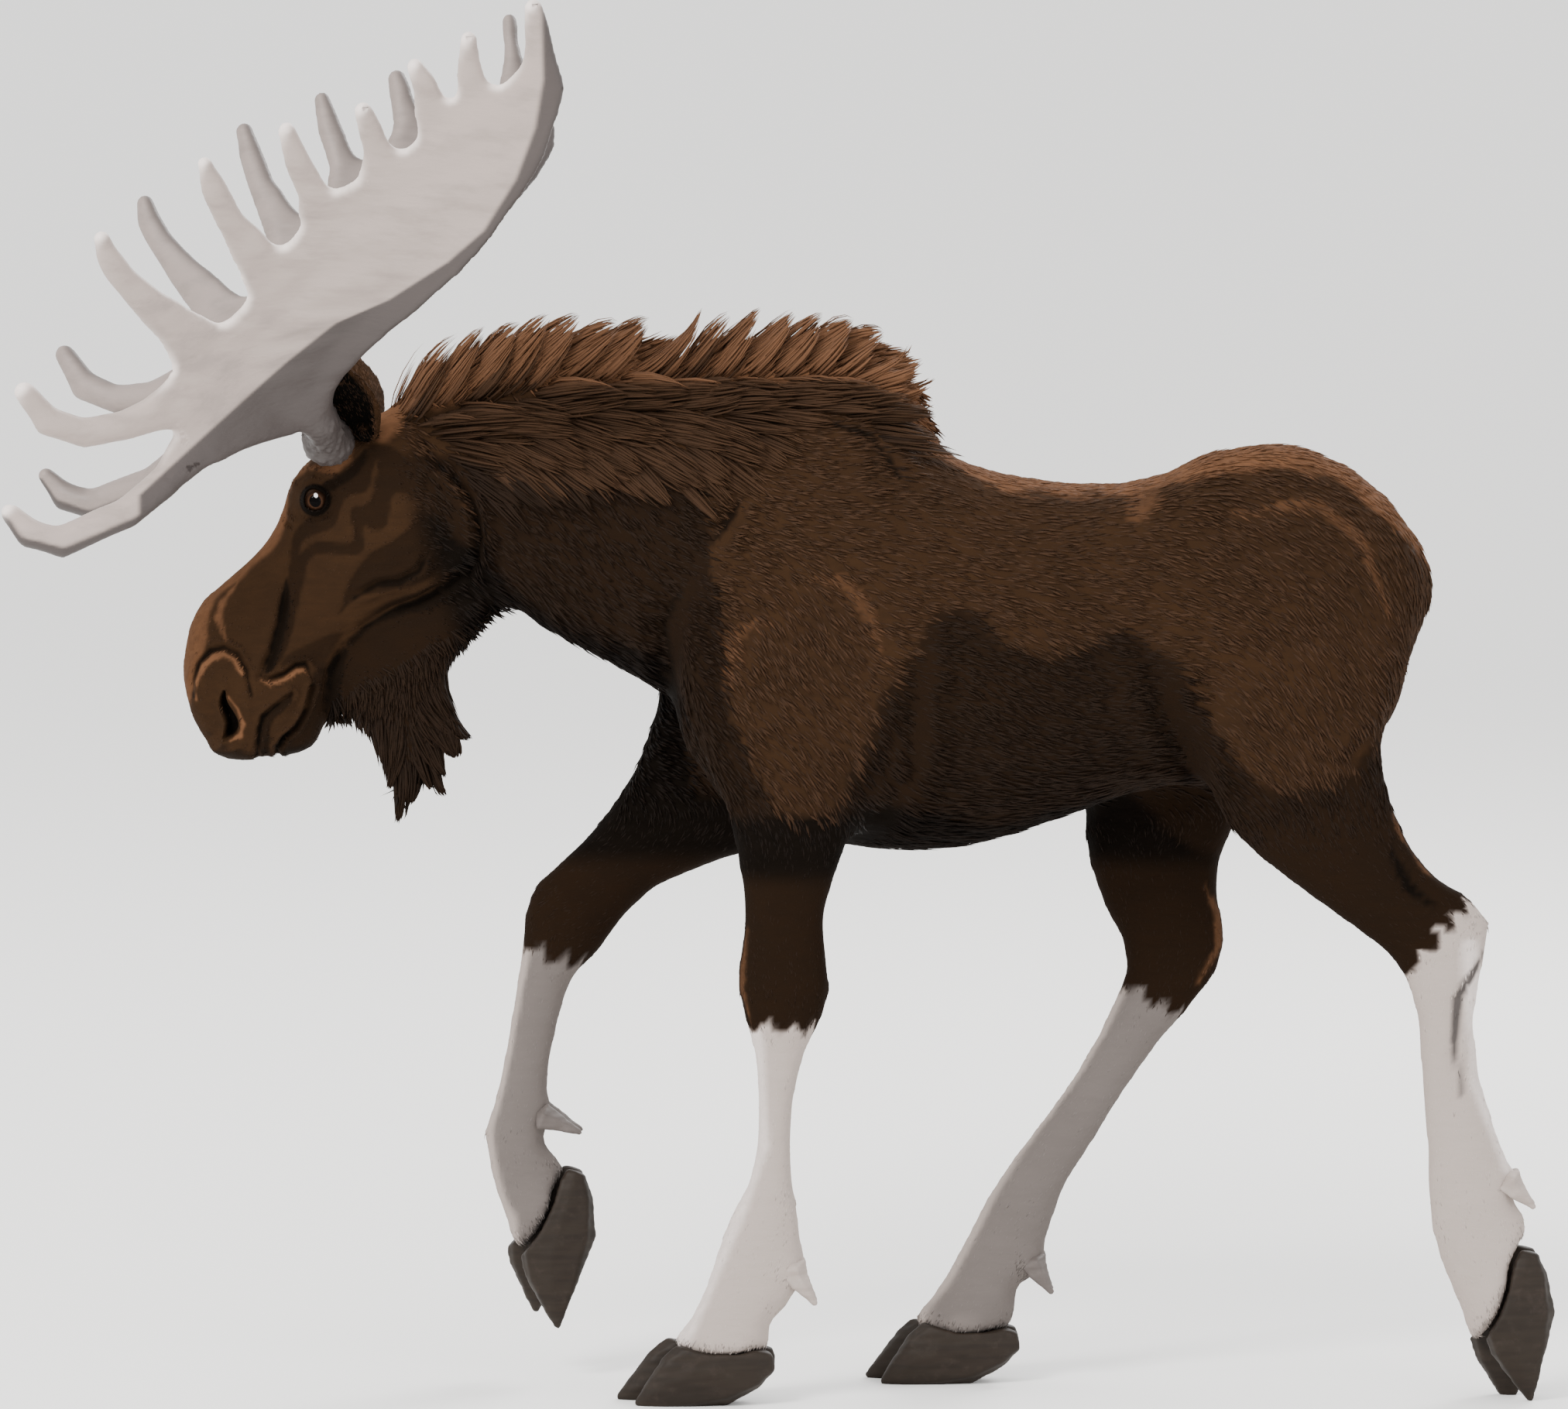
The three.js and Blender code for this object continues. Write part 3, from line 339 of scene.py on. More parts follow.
def rounded(line, rounds=2):  # a closed outline with its corners cut off
    line = np.array(line, float)
    for _ in range(rounds):
        ahead = np.roll(line, -1, 0)
        line = np.stack([0.75 * line + 0.25 * ahead, 0.25 * line + 0.75 * ahead], 1).reshape(-1, 2)
    return line


def edgeAway(places, outline):  # distance to an outline, from inside or outside
    return lineDistance(places, np.concatenate([outline, outline[:1]]))[0]


def insideOf(places, outline, soft):  # 1 inside an outline that is seen from the side, with a soft edge
    line = rounded(outline)
    away = edgeAway(places, line)
    x, z = places[:, 0], places[:, 2]
    inside = np.zeros(len(places), bool)
    for (x0, z0), (x1, z1) in zip(sideView(line), sideView(np.roll(line, -1, 0))):
        if z0 != z1:
            inside ^= ((z0 > z) != (z1 > z)) & (x < (x1 - x0) * (z - z0) / (z1 - z0) + x0)
    return softStep(np.where(inside, away, -away), -soft, soft)


headEdge = ((-735, 1862), (-600, 1400))  # behind the jaw
regionPlan = {  # metres in the frame: where one kind of coat passes into the next
    "jawBlend": 0.03, "headFoot": (1.08, 1.14), "headBack": -0.5,
    "legTop": (-1.16, -0.98), "legReach": (-0.22, -0.12),
}
stockingEdges = {  # where each leg turns pale, seen from the side
    "forelegLeft": ((-300, 706), (300, 700)),
    "forelegRight": ((-540, 830), (-300, 752)),
    "hindlegLeft": ((1070, 716), (1330, 1012)),
    "hindlegRight": ((560, 782), (820, 652)),
}
stockingScallops = {"wide": 0.046, "deep": -0.030, "top": 1.06}
legPaths = {  # middle of each leg from the top down, x and z in mm, then y
    "forelegLeft": ([(10, 1110), (0, 900), (0, 700), (-20, 450), (-50, 280), (-120, 70)], -170),
    "forelegRight": ([(60, 1250), (-120, 1090), (-300, 930), (-430, 850), (-470, 600), (-500, 440),
                      (-440, 260)], 160),
    "hindlegLeft": ([(900, 1250), (960, 1080), (1090, 960), (1220, 860), (1225, 560), (1270, 350),
                     (1340, 170)], -107),
    "hindlegRight": ([(800, 1200), (700, 1000), (730, 820), (640, 640), (510, 440), (400, 240),
                      (320, 70)], 112),
}


def legOf(places):  # place in legPaths of the nearest leg for each point, and how far away its middle is
    away = []
    for line, y in legPaths.values():
        flat, _ = lineDistance(places, line)
        away.append(np.hypot(flat, places[:, 1] - y / 1000))
    return np.argmin(away, 0), np.min(away, 0)


def regions(places):  # how much each point belongs to the head and to a leg, and which leg is nearest
    plan = regionPlan
    head = softStep(-pastLine(places, *headEdge), -plan["jawBlend"], plan["jawBlend"])
    head *= softStep(places[:, 2], *plan["headFoot"]) * (places[:, 0] < plan["headBack"])
    nearest, away = legOf(places)
    leg = softStep(-places[:, 2], *plan["legTop"]) * softStep(-away, *plan["legReach"])
    return head, leg, nearest


coatLie = {  # direction of the hair, and how much each part turns it down and forwards
    "back": (1.0, 0.0, -0.28),
    "face": (0.52, 0.0, 0.72),
    "bell": (0.12, 0.0, -1.0),
    "rump": {"zone": (0.75, 1.15), "down": 1.2, "forwards": 0.45},
    "neck": {"zone": (0.1, 0.35), "down": 0.55},
    "shoulder": {"at": (0.02, 1.25), "squeeze": 0.7, "zone": (-0.26, -0.1), "down": 0.8},
    "jaw": {"zone": (-0.86, -0.66), "down": 1.1, "back": 0.5},
    "swirl": 0.22,
    "stray": 0.13,
}


def lieOfCoat(places, out):  # which way the hair runs over the skin
    head, leg, nearest = regions(places)
    way = np.tile(coatLie["back"], (len(places), 1))
    rump = softStep(places[:, 0], *coatLie["rump"]["zone"])
    way[:, 2] -= rump * coatLie["rump"]["down"]
    way[:, 0] -= rump * coatLie["rump"]["forwards"]
    way[:, 2] -= softStep(-places[:, 0], *coatLie["neck"]["zone"]) * coatLie["neck"]["down"]
    part = coatLie["shoulder"]
    away = np.hypot(places[:, 0] - part["at"][0], (places[:, 2] - part["at"][1]) * part["squeeze"])
    way[:, 2] -= softStep(-away, *part["zone"]) * part["down"]
    face = np.tile(coatLie["face"], (len(places), 1))
    jaw = softStep(places[:, 0], *coatLie["jaw"]["zone"])
    face[:, 2] -= jaw * coatLie["jaw"]["down"]
    face[:, 0] += jaw * coatLie["jaw"]["back"]
    bell = bellShare(places)[:, None]
    face = face * (1 - bell) + np.array(coatLie["bell"]) * bell
    way = way * (1 - head[:, None]) + face * head[:, None]
    for i, (line, _) in enumerate(legPaths.values()):
        path = sideView(line)
        _, share = lineDistance(places, line)
        step = np.clip((share * (len(path) - 1)).astype(int), 0, len(path) - 2)
        run = (path[1:] - path[:-1])[step]
        run = run / np.linalg.norm(run, axis=1)[:, None]
        down = np.stack([run[:, 0], np.zeros(len(run)), run[:, 1]], 1)
        mine = (leg * (nearest == i))[:, None]
        way = way * (1 - mine) + down * mine
    return alongSkin(way, out)


bellZone = {"line": ((-850, 1285), (-520, 1470)), "blend": 0.02, "front": -0.835, "back": -0.5, "half": 0.06}


def bellShare(places):  # the flap of skin under the throat
    plan = bellZone
    under = softStep(-pastLine(places, *plan["line"]), -plan["blend"], plan["blend"])
    x = places[:, 0]
    return under * (x > plan["front"]) * (x < plan["back"]) * (abs(places[:, 1]) < plan["half"])


def ripple(places, scale, seed):  # cheap smooth noise, about -1 to 1
    draw = np.random.default_rng(seed)
    total = np.zeros(len(places))
    for _ in range(5):
        wave = draw.normal(size=3)
        along = places @ (wave / np.linalg.norm(wave))
        total += np.sin(along * scale * draw.uniform(0.6, 1.6) + draw.uniform(0, 6.3))
    return total / 3


# edges of the light mane and back, of the darker lower body, and of the darkest part, which is painted shade
# under the neck and belly; all seen from the side in mm
lightEdge = [(-790, 1768), (-724, 1768), (-698, 1806), (-604, 1836), (-489, 1858), (-304, 1872),
             (-84, 1878), (20, 1874), (85, 1862), (157, 1838), (206, 1812), (262, 1750), (330, 1706),
             (398, 1680), (520, 1664), (670, 1672), (760, 1706), (833, 1714), (930, 1722), (1014, 1694),
             (1111, 1617), (1183, 1545)]
darkEdge = [(-640, 1748), (-450, 1735), (-300, 1722), (-150, 1706), (-122, 1440), (-100, 1290), (-60, 1183),
            (-12, 1096), (36, 1070), (85, 1100), (145, 1231), (175, 1316), (248, 1424), (278, 1472),
            (314, 1489), (350, 1472), (398, 1418), (477, 1395), (543, 1412), (592, 1445), (622, 1446),
            (658, 1412), (712, 1382), (761, 1291), (821, 1195), (881, 1153), (936, 1144), (1002, 1159),
            (1050, 1189), (1111, 1261), (1200, 1300)]
darkestEdge = [(-640, 1640), (-555, 1561), (-520, 1503), (-446, 1458), (-259, 1390), (-200, 1330),
               (-170, 1100), (224, 1110), (338, 1074), (423, 1084), (519, 1116), (640, 1110), (760, 1000),
               (1200, 900)]
strokes = {  # painted highlights on muscles and rims, painted shade in creases and hollows: line, half width in mm, which mask it adds to, how much
    "haunch": ([(821, 1645), (966, 1665), (1050, 1600), (1105, 1466)], 11, "light", 0.4),
    "shoulder": ([(36, 1533), (109, 1527), (150, 1470), (175, 1388)], 11, "light", 0.3),
    "point": ([(-36, 1460), (-100, 1420), (-114, 1322)], 10, "light", 0.4),
    "loin": ([(615, 1690), (645, 1640), (690, 1690)], 14, "light", 0.4),
    "noseArc": ([(-1005, 1505), (-1034, 1467), (-1041, 1438), (-1026, 1400)], 6, "light", 0.7),
    "archRim": ([(-1081, 1290), (-1080, 1325), (-1068, 1353), (-1050, 1371), (-1030, 1377), (-1009, 1366),
                 (-994, 1340)], 5, "light", 1.2),
    "nostrilRim": ([(-1022, 1298), (-1004, 1276), (-994, 1248), (-1000, 1226),
                    (-1018, 1215)], 5, "light", 1.2),
    "lipRim": ([(-961, 1329), (-944, 1322), (-919, 1329), (-898, 1344), (-882, 1345),
                (-876, 1334)], 4.5, "light", 1.2),
    "jawRim": ([(-652, 1728), (-618, 1704), (-592, 1670), (-576, 1625)], 7, "light", 0.35),
    "burrRing": ([(-873, 1719), (-831, 1715), (-801, 1736), (-789, 1770)], 8, "light", 0.8),
    "jaw": ([(-776, 1418), (-721, 1452), (-671, 1469), (-625, 1494), (-585, 1524), (-565, 1556),
             (-558, 1598), (-566, 1640)], 9, "deep", 1.0),
    "jawTop": ([(-562, 1610), (-572, 1650), (-596, 1690), (-628, 1718), (-652, 1745),
                (-664, 1775)], 6, "deep", 0.9),
    "cheekLine": ([(-789, 1480), (-747, 1503), (-705, 1509), (-671, 1528), (-652, 1564)], 6, "deep", 0.8),
    "chinLine": ([(-812, 1383), (-835, 1341), (-845, 1265)], 7, "deep", 1.0),
    "mouthLine": ([(-881, 1270), (-898, 1240), (-919, 1222), (-932, 1203), (-935, 1182)], 5, "deep", 1.0),
    "lipLine": ([(-906, 1301), (-936, 1278), (-957, 1261), (-963, 1240), (-971, 1188)], 5, "deep", 1.0),
    "lipTop": ([(-961, 1338), (-944, 1331), (-919, 1339), (-898, 1354), (-881, 1356),
                (-869, 1332)], 4, "deep", 1.0),
    "crease": ([(-914, 1518), (-928, 1434), (-943, 1377), (-962, 1337)], 5, "deep", 1.0),
    "arch": ([(-1086, 1295), (-1087, 1325), (-1075, 1360), (-1053, 1381), (-1030, 1388), (-1006, 1377),
              (-988, 1346), (-979, 1301)], 4, "deep", 0.9),
    "hockHollow": ([(1108, 1034), (1145, 954), (1199, 916)], 9, "deep", 1.0),
    "blade": ([(83, 1806), (158, 1780), (202, 1722), (221, 1692)], 8, "deep", 0.9),
    "neckBase": ([(-80, 1672), (-101, 1633), (-137, 1588)], 9, "deep", 0.9),
    "shoulderFront": ([(-191, 1503), (-220, 1441), (-208, 1339), (-174, 1252)], 9, "deep", 0.8),
    "backOfThigh": ([(778, 930), (806, 875), (808, 818), (765, 745)], 10, "light", 0.7),
    "backOfGaskin": ([(1108, 1170), (1130, 1064), (1182, 986), (1245, 950)], 11, "light", 0.7),
    "kneeFront": ([(-66, 885), (-78, 825), (-78, 770), (-60, 705)], 7, "light", 0.7),
    "elbow": ([(262, 1430), (262, 1250), (240, 1110)], 18, "dark", 1.0),
    "flank": ([(664, 1390), (690, 1240), (760, 1100)], 20, "dark", 1.0),
}
facePatches = {  # painted shade and painted highlights on the face: outline, which mask it adds to, how much, how soft in mm
    "cheek": ([(-759, 1763), (-726, 1761), (-700, 1749), (-650, 1715), (-629, 1692), (-621, 1656),
               (-606, 1614), (-606, 1577), (-617, 1547), (-633, 1522), (-680, 1500), (-730, 1493),
               (-768, 1484), (-793, 1476), (-822, 1440), (-810, 1467), (-806, 1493), (-789, 1526),
               (-768, 1556), (-747, 1572), (-713, 1589), (-684, 1614), (-669, 1640), (-672, 1662),
               (-688, 1674), (-709, 1677), (-721, 1667), (-722, 1644), (-727, 1617), (-738, 1606),
               (-755, 1610), (-768, 1619), (-772, 1606), (-770, 1581), (-776, 1562), (-793, 1557),
               (-831, 1563), (-856, 1562), (-873, 1551), (-883, 1518), (-890, 1472), (-900, 1430),
               (-919, 1371), (-940, 1345), (-957, 1337), (-940, 1383), (-927, 1434), (-915, 1518),
               (-902, 1600), (-877, 1625), (-852, 1650), (-852, 1690), (-806, 1707),
               (-768, 1753)], "dark", 0.85, 3),
    "temple": ([(-749, 1740), (-746, 1703), (-755, 1667), (-768, 1651), (-791, 1653), (-794, 1633),
                (-788, 1612), (-788, 1592), (-797, 1578), (-822, 1581), (-856, 1585), (-873, 1577),
                (-893, 1554), (-886, 1585), (-864, 1598), (-835, 1604), (-818, 1623), (-811, 1656),
                (-797, 1672), (-772, 1670), (-759, 1690), (-752, 1728)], "dark", -1.0, 2.5),
    "brow": ([(-852, 1692), (-822, 1704), (-798, 1722), (-772, 1752), (-765, 1757), (-765, 1738),
              (-776, 1714), (-800, 1694), (-826, 1680), (-846, 1670)], "deep", 0.7, 3),
    "wedge": ([(-915, 1520), (-905, 1467), (-910, 1434), (-926, 1383), (-939, 1344), (-962, 1335),
               (-944, 1371), (-929, 1434)], "deep", 0.8, 3),
    "nose": ([(-869, 1717), (-902, 1694), (-911, 1673), (-915, 1640), (-915, 1606), (-940, 1564),
              (-978, 1535), (-1003, 1505), (-1041, 1484), (-1055, 1455), (-1062, 1425), (-1060, 1390),
              (-1083, 1350), (-1089, 1300), (-1100, 1262), (-1140, 1270), (-1140, 1380), (-1110, 1500),
              (-1000, 1590), (-955, 1640), (-945, 1710), (-885, 1745)], "light", 0.62, 5),
    "lipCorner": ([(-919, 1371), (-852, 1406), (-806, 1416), (-831, 1383), (-852, 1330), (-860, 1355),
                   (-885, 1364), (-930, 1350)], "dark", 0.8, 4),
    "lipShade": ([(-906, 1305), (-902, 1290), (-920, 1272), (-940, 1255), (-945, 1230), (-945, 1190),
                  (-970, 1186), (-966, 1230), (-957, 1261), (-936, 1278)], "deep", 0.7, 3),
    "chin": ([(-873, 1329), (-875, 1278), (-890, 1253), (-915, 1228), (-927, 1203), (-934, 1170),
              (-880, 1170), (-840, 1210), (-838, 1300), (-830, 1350), (-858, 1350)], "deep", 0.6, 4),
    "underJaw": ([(-801, 1383), (-771, 1413), (-742, 1434), (-650, 1455), (-625, 1470), (-583, 1482),
                  (-503, 1450), (-470, 1430), (-447, 1455), (-487, 1488), (-524, 1517), (-548, 1547),
                  (-551, 1602), (-558, 1652), (-580, 1676), (-568, 1635), (-562, 1598), (-568, 1556),
                  (-587, 1526), (-625, 1497), (-671, 1472), (-721, 1455), (-776, 1421),
                  (-810, 1395)], "deep", 0.7, 4),
    "bellEdge": ([(-801, 1383), (-816, 1329), (-820, 1287), (-790, 1256), (-838, 1262), (-848, 1290),
                  (-842, 1335), (-822, 1378)], "deep", 0.7, 4),
}
# outline of the painted shade under the jaw and down the throat, seen from the side in mm
throat = [(-835, 1345), (-812, 1383), (-776, 1421), (-721, 1455), (-671, 1472), (-625, 1497), (-587, 1526),
          (-568, 1556), (-562, 1598), (-568, 1650), (-500, 1680), (-430, 1500), (-450, 1380), (-540, 1180),
          (-640, 1020), (-760, 1020), (-800, 1200), (-850, 1262), (-850, 1300)]
legLines = [  # painted shade in the tendon's groove: dark line, half width in mm
    ([(1288, 835), (1270, 800), (1240, 752), (1233, 660), (1248, 562)], 9),
]
legShine = [  # painted highlight down the front of the near legs: light streak, half width in mm
    ([(-84, 800), (-60, 664), (-50, 480), (-100, 340), (-190, 130)], 22),
    ([(1260, 840), (1278, 590), (1340, 430)], 16),
]


def coatMasks(places, out):  # red: pale legs; green: light mane and back, with painted highlights on muscles, rims and near legs; blue: darker lower body, with painted shade on down-facing parts, in hollows and on the far legs; alpha: darkest, mostly painted shade in creases and under the neck, with the black lids and nostrils
    head, _, nearest = regions(places)
    jag = 0.005 * ripple(places, 105, 4) + 0.004 * ripple(places, 420, 5)
    pale = np.zeros(len(places))
    for i, edge in enumerate(stockingEdges.values()):
        reach = -pastLine(places, *edge)
        run = np.diff(sideView(edge), axis=0)[0]
        along = places[:, [0, 2]] @ run / np.linalg.norm(run) + 0.7 * places[:, 1]
        arc = np.abs(np.sin(np.pi * along / stockingScallops["wide"]))
        scallop = stockingScallops["deep"] * (arc - 0.5)
        pale += (nearest == i) * softStep(reach + jag + scallop, -0.004, 0.006)
    pale *= places[:, 2] < stockingScallops["top"]
    x, z = places[:, 0], places[:, 2]
    body = 1 - head
    wave = 0.006 * ripple(places, 60, 8) + 0.005 * ripple(places, 160, 9)
    light = softStep(z + wave - edgeHeight(x, lightEdge), -0.004, 0.012) * softStep(x, -0.78, -0.74)
    dark = softStep(edgeHeight(x, darkEdge) - z + wave, -0.006, 0.012)
    dark *= np.maximum(softStep(-x, -1.18, -1.12), softStep(-z, -1.2, -1.1))
    deep = softStep(edgeHeight(x, darkestEdge) - z + wave, -0.01, 0.02) * body * softStep(z, 0.95, 1.0)
    # painted shade on the parts that face down
    below = softStep(-out[:, 2], 0.5, 0.8) * (z < 1.5)
    masks = {"light": light, "dark": np.maximum(body * dark, below), "deep": deep}
    sides = softStep(abs(out[:, 1]), 0.1, 0.4)
    for line, wide, mask, amount in strokes.values():
        away, share = lineDistance(places, line)
        wide = wide / 1000 * np.sin(np.pi * np.clip(share, 0.08, 0.92)) ** 0.6
        stroke = amount * sides * softStep(wide - away + wave * 0.3, -0.003, 0.004)
        masks[mask] = np.maximum(masks[mask], stroke)
        weaker = "dark" if mask == "light" else "light"
        masks[weaker] = masks[weaker] * (1 - np.clip(stroke, 0, 1))
    face = np.flatnonzero(x < -0.42)
    spot, seen = places[face], softStep(abs(out[face, 1]), 0.05, 0.3)
    for outline, mask, amount, soft in facePatches.values():
        patch = amount * insideOf(spot + wave[face, None] * 0.3, outline, soft / 1000)
        patch *= 1 if mask == "light" else seen
        before = masks[mask][face]
        masks[mask][face] = before * (1 + patch) if amount < 0 else np.maximum(before, patch)
    # painted shade under the jaw and down the throat
    under = insideOf(spot + wave[face, None] * 0.5, throat, 0.006)
    masks["dark"][face] = np.maximum(masks["dark"][face], under)
    for side in hands:
        centre, radius = eyeFacts(side)
        ring = softStep(-np.linalg.norm(places - centre, axis=1), -radius * 1.42, -radius * 1.2)
        masks["deep"] = np.maximum(masks["deep"], ring)
    # the nostrils are bare black skin, with painted shade in their hollows
    masks["deep"][face] = np.maximum(masks["deep"][face], seen * insideOf(spot, nostril["outline"], 0.002))
    # painted highlight streaks on the pale near legs
    shine = np.zeros(len(places))
    for line, wide in legShine:
        away, _ = lineDistance(places, line)
        shine = np.maximum(shine, softStep(wide / 1000 - away, -0.008, 0.008) * (places[:, 1] < 0))
    # painted shade on the far legs, lighter where they face forwards
    shade = softStep(places[:, 1], 0.02, 0.06) * (0.85 - 0.65 * softStep(-out[:, 0], 0.5, 0.8))
    # painted shade in the tendon's groove of the near hind leg
    for line, wide in legLines:
        away, share = lineDistance(places, line)
        wide = wide / 1000 * np.sin(np.pi * np.clip(share, 0.06, 0.94))
        shade = np.maximum(shade, softStep(wide - away, -0.003, 0.003) * (places[:, 1] < 0))
    light = np.clip(masks["light"], 0, 1.3) * (1 - pale) + shine * pale
    dark = np.clip(masks["dark"], 0, 1) * (1 - pale) + shade * pale
    deep = np.clip(masks["deep"], 0, 1) * (1 - pale)
    return np.stack([pale, light, dark, deep], 1)


def edgeHeight(x, line):
    line = sideView(line)
    return np.interp(x, line[:, 0], line[:, 1])


def crestHeight(x):  # height of the back line, without the mane
    return edgeHeight(x, [
        (-800, 1800), (-655, 1842), (-545, 1884), (-420, 1902), (-160, 1912), (30, 1918), (140, 1890),
        (228, 1806), (318, 1736), (440, 1702), (570, 1688), (680, 1700), (770, 1742), (880, 1762),
        (975, 1752), (1078, 1694), (1150, 1612), (1182, 1535)])


legNames = ["foreleg_left", "foreleg_right", "hindleg_left", "hindleg_right"]
skinPlan = {
    "nodes": ["head", "neck", "torso", "bell", "tail"]
    + [leg + part for leg in legNames for part in ("_upper", "_lower")],
    "voxel": 0.0128,
    "overlap": 0.0012,
    "coat": 0.009,  # how deep the skin lies under the coat's surface
    "faceCoat": 0.0035,
    "legCoat": 0.0045,
    "firstDetail": {"eye": 2.2, "nose": 0.035, "fold": 0.016, "side": 0.03, "back": -0.55},
    "secondDetail": {"eye": 1.5, "nose": 0.014, "fold": 0, "side": 0.04, "back": -0.75},
}
bodyFolds = {  # soft creases, seen from the side: line, depth, half width
    "shoulderFront": ([(-191, 1503), (-220, 1441), (-208, 1339), (-174, 1252), (-123, 1172)], 9, 24),
    "elbow": ([(192, 1268), (181, 1196), (127, 1094)], 7, 16),
    "behindElbow": ([(243, 1443), (239, 1297), (224, 1188), (173, 1094), (137, 1036)], 9, 24),
    "flank": ([(670, 1425), (694, 1301), (752, 1170), (807, 1076)], 10, 26),
    "hip": ([(641, 1644), (658, 1695), (691, 1731)], 8, 22),
    "blade": ([(87, 1801), (159, 1779), (202, 1721), (220, 1689)], 7, 20),
    "neckBase": ([(-84, 1672), (-101, 1633), (-137, 1592)], 7, 18),
    "gaskin": ([(1106, 1259), (1063, 1223), (1044, 1194), (1044, 1136)], 7, 18),
    "hock": ([(1111, 1031), (1143, 958), (1200, 915)], 5, 14),
    "tendon": ([(1275, 800), (1242, 750), (1234, 650), (1250, 560)], 6, 9),
    "groin": ([(470, 1134), (579, 1137), (723, 1108), (803, 1076)], 6, 18),
}
faceFolds = {
    "jawEdge": ([(-776, 1421), (-721, 1455), (-671, 1472), (-625, 1497), (-587, 1526), (-568, 1556),
                 (-562, 1598), (-568, 1635), (-583, 1673), (-608, 1705), (-646, 1732),
                 (-661, 1759)], 12, 9),
    "cheekLine": ([(-789, 1480), (-747, 1505), (-705, 1511), (-671, 1530), (-652, 1564)], 7, 7),
    "crease": ([(-915, 1518), (-927, 1434), (-942, 1380), (-962, 1337)], 8, 7),
    "lipTop": ([(-963, 1337), (-944, 1330), (-919, 1338), (-898, 1353), (-881, 1355),
                (-870, 1332)], 8, 5),
    "lipFold": ([(-906, 1301), (-936, 1278), (-957, 1261), (-963, 1240), (-971, 1188)], 7, 5),
    "mouth": ([(-870, 1312), (-881, 1270), (-898, 1240), (-919, 1222), (-932, 1203),
               (-935, 1176)], 12, 5),
    "arch": ([(-1086, 1295), (-1087, 1325), (-1075, 1360), (-1053, 1381), (-1030, 1388), (-1006, 1377),
              (-988, 1346), (-979, 1301)], 6, 5),
    "chinLine": ([(-812, 1383), (-835, 1341), (-845, 1270)], 9, 8),
    "underEye": ([(-893, 1634), (-866, 1622), (-838, 1632), (-826, 1650)], 3, 4),
    "overEye": ([(-894, 1690), (-866, 1704), (-832, 1694), (-822, 1672)], 3, 4),
    "browEnd": ([(-925, 1634), (-914, 1615), (-902, 1606)], 4, 5),
}
faceRelief = {  # outline, height and soft edge in mm
    "muzzle": ([(-1086, 1295), (-1087, 1325), (-1075, 1360), (-1053, 1381), (-1030, 1388), (-1006, 1377),
                (-988, 1346), (-978, 1301), (-980, 1200), (-1060, 1190), (-1100, 1250)], 4, 7),
    "lipFlap": ([(-963, 1337), (-944, 1330), (-919, 1338), (-898, 1353), (-881, 1355), (-868, 1332),
                 (-870, 1290), (-885, 1256), (-915, 1228), (-932, 1200), (-966, 1230), (-940, 1276),
                 (-910, 1298), (-935, 1310), (-965, 1320)], 4, 5),
    "brow": ([(-912, 1690), (-885, 1722), (-845, 1718), (-812, 1698), (-826, 1686), (-850, 1698),
              (-880, 1694), (-900, 1672)], 6, 7),
    "lobe": ([(-1058, 1222), (-975, 1222), (-980, 1140), (-1055, 1140)], 8, 14),
    "cheek": (facePatches["cheek"][0], -3.5, 9),
    "temple": (facePatches["temple"][0], 3, 6),
}
# side view place in mm, side
pasternNotches = [(-13, 141, -1), (-436, 449, 1), (1348, 379, -1), (448, 170, 1)]
notchPlan = {"depth": 0.013, "wide": 0.030}
spurSwell = {  # flesh round the roots of the dewclaws and of the claws
    "rise": 0.013, "wide": 0.030, "from": (-0.010, 0, 0.020), "foot": 0.004, "footZone": (-0.11, -0.07),
}
nostril = {
    "outline": [(-1027, 1315), (-1038, 1287), (-1024, 1253), (-1026, 1236), (-1029, 1220), (-1009, 1227),
                (-1001, 1249), (-1011, 1270), (-1026, 1290)],
    "depth": 26, "ridge": 6, "wide": 0.010, "soft": 0.0035,
}
eyePlan = {"almondLong": 0.92, "almondTall": 0.86, "slant": -28, "lid": 0.0045}


def middleOf(name):
    low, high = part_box(name)
    return np.array((low + high) / 2)


def eyeFacts(side):  # centre and radius
    low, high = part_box(f"eye_{side}")
    return middleOf(f"eye_{side}"), (high.z - low.z) / 2


def slanted(offset):  # places along and across the eye's slant
    slant = math.radians(eyePlan["slant"])
    along = offset[:, 0] * math.cos(slant) - offset[:, 2] * math.sin(slant)
    return along, offset[:, 0] * math.sin(slant) + offset[:, 2] * math.cos(slant)


